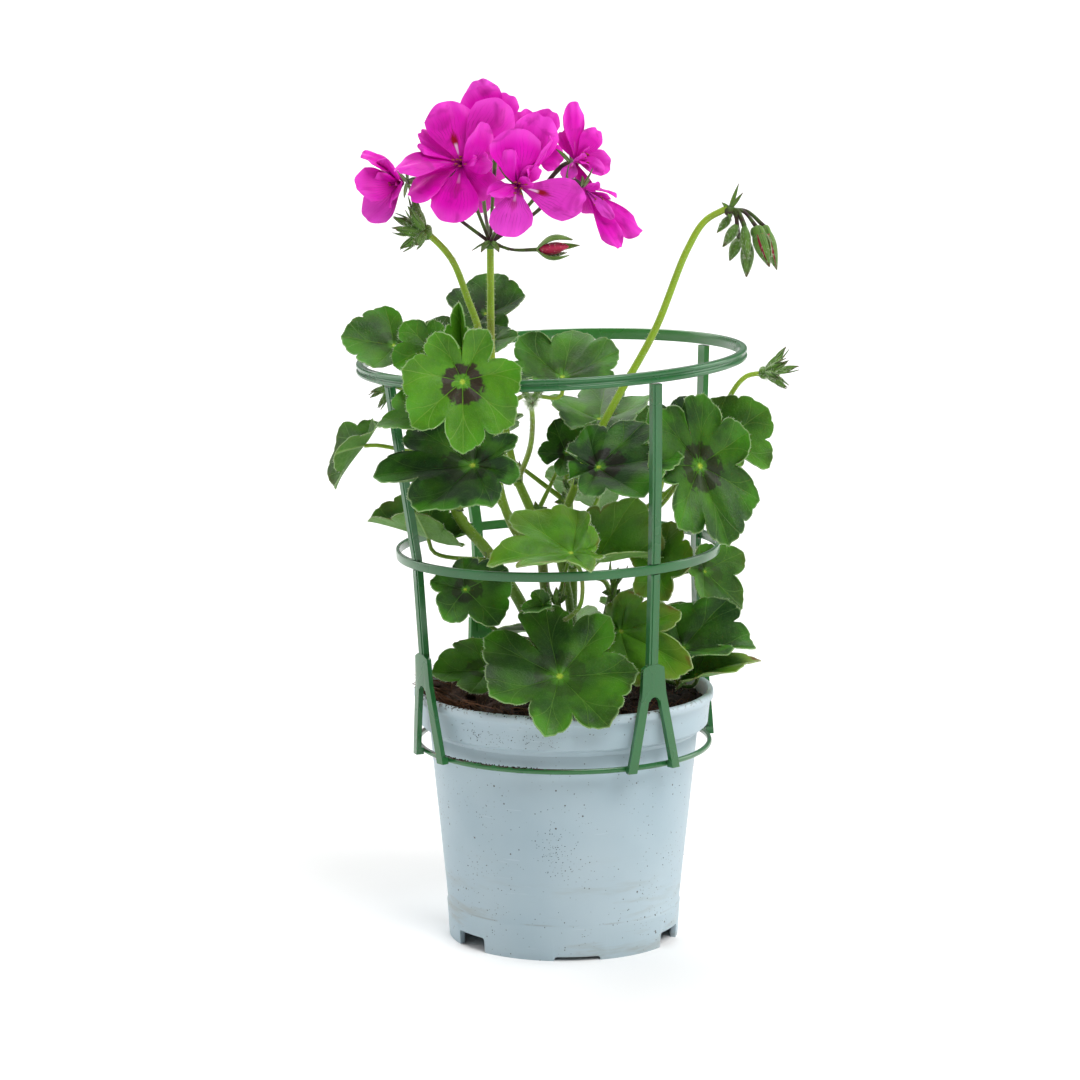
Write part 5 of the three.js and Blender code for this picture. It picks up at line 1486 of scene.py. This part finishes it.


# A petal: its tip from the bloom's middle, the way it faces, its width, arch, blotch, and how far painted
# light makes it paler.
blooms = {
    "bloom_front_left": {
        "at": [-43.3, -28, 338], "face": [-0.12, -0.93, 0.3], "size": 26, "curled": 1,
        "petals": [
            ((-6.3, 3, 26.4), (-0.1, -0.95, 0.25), 20.5, 0.1, 1, 0.1),
            ((20.2, 2, 25), (0.1, -0.95, 0.2), 21, 0.12, 0.1, 0.3),
            ((-27.7, -8, -2.7), (-0.1, -0.6, 0.8), 18, 0.14, 0.15, 0),
            ((-21.9, -3, -14.7), (-0.2, -0.8, 0.5), 14, 0.1, 0, 0),
            ((-3.1, -8, -24.1), (0, -0.9, 0.4), 20, 0.12, 0.3, 0),
            ((12.9, -10, 3.5), (-0.5, -0.8, 0.1), 11, 0.1, 0, 0),
            ((12, -4, -13.6), (0.1, -0.9, 0.2), 14, 0.1, 0, 0),
            ((11.6, -10, 17), (0.1, -0.8, -0.5), 13, 0.3, 0, 0.1),
            ((11, -8, 8), (0.2, -0.9, 0.2), 8, 0.2, 0, 0.4),
            ((7, -11, 4), (-0.7, -0.6, 0.3), 5, 0.1, 0, 0),
            ((-18.7, 4, 7.2), (-0.1, -0.5, 0.8), 10, 0.1, 0, 0),
            ((-18.2, 6, 12.6), (-0.3, -0.8, 0.3), 8, 0.1, 0, 0.1),
        ],
    },
    "bloom_front_middle": {
        "at": [-19.9, -44, 331], "face": [0.15, -0.97, -0.05], "size": 26, "curled": 2,
        "petals": [
            ((-0.8, -2, 23.6), (-0.05, -0.98, -0.1), 21, 0.16, 0, 0),
            ((12.6, 3, 29.2), (-0.1, -0.98, 0.1), 18.5, 0.1, 0.1, 0.2),
            ((13.8, -6, 21), (0.7, -0.7, 0), 6, 0.12, 0, 0.1),
            ((28.3, -4, -9.4), (0.1, -0.97, 0.1), 17.5, 0.1, 1, 0.7),
            ((-3, -8, -21.5), (0, -0.93, 0.3), 18, 0.12, 0.45, 0.9),
            ((-11.6, -6, -4.5), (-0.6, -0.75, 0.25), 10, 0.12, 0, 0.1),
            ((-4.2, -6, 15.5), (-0.6, -0.8, 0), 7, 0.15, 0, 0),
            ((-1, -5, 15), (0.5, -0.85, 0), 4, 0.15, 0, 0),
            ((4.6, -8, 7), (0.8, -0.5, 0.1), 6, 0.2, 0, 0),
            ((9.5, -4, 8), (0.3, -0.8, 0.4), 7, 0.15, 0, 0.2),
        ],
    },
    "bloom_left": {
        "at": [-68, -12, 329], "face": [-0.8, -0.5, -0.15], "size": 23, "curled": 1,
        "petals": [
            ((-17.9, -2, 12.6), (-0.3, -0.35, 0.9), 15, 0.12, 0, 0),
            ((-20.3, -8, -1.5), (-0.5, -0.8, 0.1), 15, 0.12, 0, 0.2),
            ((-16.7, -4, -14.4), (-0.3, -0.9, -0.3), 14, 0.1, 0, 1),
            ((-7.2, -10, 10.8), (-0.8, -0.6, 0), 13, 0.14, 0.2, 0),
            ((-3.8, -10, -7.3), (-0.7, -0.7, -0.1), 15, 0.14, 0, 0.1),
            ((-11.6, -6, 4), (-0.5, -0.6, -0.6), 9, 0.1, 0, 0),
        ],
    },
    "bloom_top": {
        "at": [-30, 9, 351], "face": [-0.1, 0.3, 0.9], "size": 22, "start": 0.25, "spread": 1, "curled": 2,
        "petals": [
            ((-6.5, 6, 19.8), (-0.1, -0.95, 0.3), 14.5, 0.1, 0, 0.9),
            ((-7.9, -5, 17.6), (-0.2, -0.95, 0.2), 19, 0.14, 0, 0),
            ((6.4, 0, 14.5), (0.3, -0.9, 0.3), 13, 0.12, 0, 0.1),
            ((4, 15, 9), (0, 0.3, 0.95), 15, 0.12, 1, 0.2),
            ((-14, 9, 8), (-0.3, 0, 0.95), 14, 0.12, 0.3, 0),
        ],
    },
    "bloom_right": {
        "at": [4.5, 0, 337], "face": [0.75, -0.5, 0.3], "size": 25, "start": 0.55, "spread": 1.35,
        "curled": 2,
        "petals": [
            ((-1.8, 1, 25.6), (0.25, -0.95, 0), 10.5, 0.08, 0.1, 0.1),
            ((9.6, 3, 14), (0.3, -0.9, 0.3), 10, 0.12, 0, 0.1),
            ((15.5, -1, -1.5), (0.3, -0.75, 0.6), 12, 0.12, 0, 0.2),
            ((12.6, -7, -3.6), (0.2, -0.9, 0.4), 6.5, 0.2, 0, 0.4),
            ((-3.6, -4, -7.4), (-0.5, -0.85, 0.1), 9, 0.12, 0.4, 1),
            ((6, -3, -20.5), (0.5, -0.8, 0), 9, 0.1, 0, 0),
            ((-5.2, 3, 13), (0, -1, 0), 7, 0.1, 0, 0),
            ((3, -8, 4), (0.3, -0.9, -0.2), 6, 0.2, 0, 0.7),
        ],
    },
    "bloom_lower_right": {
        "at": [9, -12, 326], "face": [0.75, -0.3, -0.55], "size": 26, "start": 0.25, "spread": 0.9,
        "curled": 1,
        "petals": [
            ((12.9, -4, -25.5), (0.5, -0.85, 0.2), 7.5, 0.06, 0, 0),
            ((22.1, 1, -20.4), (0.4, -0.7, 0.6), 9, 0.06, 0, 0.1),
            ((11, -6, -12.4), (0.3, -0.9, 0.2), 4.5, 0.08, 0, 1),
            ((-12.5, 1, 1.9), (0, -0.6, 0.8), 7.5, 0.1, 0, 0),
            ((4.5, 8, -10), (0.4, 0.4, -0.8), 11, 0.1, 0, 0.1),
            ((13, 6, -3), (0.6, 0.3, 0.6), 11, 0.1, 0, 0),
            ((5, -6, 4), (0.5, -0.8, 0.2), 6, 0.15, 0, 0.3),
        ],
    },
    "bloom_back": {
        "at": [-14, 22, 342], "face": [0.3, 0.3, 0.85], "size": 20, "start": 0.4, "spread": 1.2,
        "curled": 3,
        "petals": [
            ((-4.2, -3, 16), (-0.1, -0.98, 0.1), 11.5, 0.1, 0, 0.2),
            ((9.8, 0, 15), (0.1, -0.95, 0.3), 12, 0.12, 0, 0.1),
            ((4, 14, 9), (0, 0.2, 0.95), 14, 0.12, 1, 0),
            ((-11, 9, 6), (-0.3, 0.2, 0.9), 13, 0.12, 0, 0),
            ((13, 2, -8), (0.3, -0.9, 0.2), 12, 0.1, 0, 0),
        ],
    },
    "bloom_rear": {"at": [-38, 34, 328], "face": [-0.3, 0.9, 0.2], "size": 24},
}


def buildStem(name, stem, extra=()):
    rng = random.Random(name)
    pieces, strands = list(extra), []
    for path in stem["paths"]:
        thick = path["radius"]
        pieces.append(stalk(name + "_axis", path["points"], [thick, thick, thick * 0.92, thick * 0.8],
                greenStalk, 4, 2.0))
        strands += downAlong(path["points"], thick * 0.96, 4, rng)
        end, before = Vector(path["points"][-1]), Vector(path["points"][-2])
        if min((end - Vector(other)).length for other in [cluster["at"] for cluster in stem["clusters"]]
               + [umbel]) > 6:
            way = (end - before).normalized()  # a growing shoot with two folded young leaves
            across = way.cross(Vector((0.3, 1, 0))).normalized()
            pieces.append(bud(name + "_shoot", end - way * 1.5, end + way * 6, thick * 0.95, budProfile, 5,
                    sepalSkin))
            for lean in (-1, 1):
                pieces.append(sepal(name + "_shoot_leaf", end - way * 1.5 + across * lean,
                        end + way * 8 + across * lean * 3, 4.5, across * lean, sepalSkin, 0.1))
            strands += budHairs(end - way, end + way * 7, thick * 1.3, 50, rng)
    for i, leaf in enumerate(stem["leaves"]):
        pieces += leafPieces(f"{name}_leaf_{i}", leaf, rng)
        # A pair of stipules at the foot of each leaf stalk.
        foot = Vector(leaf["from"])
        way = (Vector(leaf["via"][0] if leaf.get("via") else leaf["at"]) - foot).normalized()
        for lean in (-0.7, 0.8):
            tip = foot + way * 5.5 + way.cross(Vector((0, 1, 0))).normalized() * 4 * lean + Vector((0,
                    -2.2, 0))
            pieces.append(sepal(name + "_stipule", foot + way * 1.2, tip, 3.2, (0, -1, 0.3), sepalSkin,
                    0.06))
    pieces.append(hairs(name + "_axis_hairs", strands))
    for i, cluster in enumerate(stem["clusters"]):
        pieces += budCluster(f"{name}_buds_{i}", cluster)
    standsFor(joined(name, pieces), "foliage", name)


def flowerHeadPieces():
    rng = random.Random(8)
    pieces = [bud("umbel", umbel - Vector((0, 0, 3)), umbel + Vector((0, 0, 2.4)), 3.2, budProfile, 6,
            sepalSkin)]
    for k in range(6):
        turn = k * fullTurn / 6
        way = Vector((math.cos(turn), math.sin(turn), 0))
        pieces.append(sepal("bract", umbel + way * 1.5, umbel + way * 7.8 - Vector((0, 0, 3.5)), 3.6,
                (0, 0, 1), sepalSkin))
    for bloom in blooms.values():
        pieces += calyxPieces(bloom, umbel, rng)
    return pieces + openingBudSepals()


umbel = Vector((-31.5, -4.5, 303))
for stemName, stem in stems.items():
    buildStem(stemName, stem, flowerHeadPieces() if stemName == "leafy_stem_flowering" else ())
    print(stemName, "built")
for bloomName, bloom in blooms.items():
    bloomPiece(bloomName, bloom)
openingBudPiece()
print("flower head built")

# A plain pale sweep, soft sun lamps with their way, strength and spread, and the photograph's viewpoint.
stage = {
    "floorSize": 60.0, "camera": (-0.01035, -1.7897, 0.4884), "pitch": 9.97, "lens": 140.42,
    "skyLight": 0.22,
    "lights": {"key": ((0.5, -0.75, 1.2), 2.0, 32), "rear": ((-0.3, 0.9, 1.1), 1.9, 60),
               "left": ((-1.3, 0.5, 0.45), 0.9, 40), "right": ((1.3, 0.4, 0.45), 1.2, 40)},
}


def buildStage():
    deselectAll()
    bpy.ops.mesh.primitive_plane_add(size=stage["floorSize"])
    floor = bpy.context.object
    floor.name = "floor"
    paper, add = newMaterial("white_paper_sweep")
    shade = add("Mix", add("TexNoise", add("TexCoord", out="Object"), 3, 2), "#fbfbfb", "#ffffff")
    floor.data.materials.append(finished(paper, shade, 0.9))
    for name, (place, strength, spread) in stage["lights"].items():
        bpy.ops.object.light_add(type="SUN", location=place)
        light = bpy.context.object
        light.name = name
        light.data.energy, light.data.angle = strength, math.radians(spread)
        light.rotation_euler = (-Vector(place)).to_track_quat("-Z", "Y").to_euler()
    world = bpy.data.worlds.new("studio")
    bpy.context.scene.world = world
    world.use_nodes = True
    world.node_tree.nodes["Background"].inputs["Color"].default_value = (1, 1, 1, 1)
    world.node_tree.nodes["Background"].inputs["Strength"].default_value = stage["skyLight"]
    bpy.ops.object.camera_add(location=stage["camera"], rotation=(math.radians(90 - stage["pitch"]), 0, 0))
    camera = bpy.context.object
    camera.data.lens = stage["lens"]
    camera.data.sensor_width = 36
    camera.data.clip_end = 200
    bpy.context.scene.camera = camera
    bpy.context.scene.view_settings.view_transform = "Standard"


buildStage()
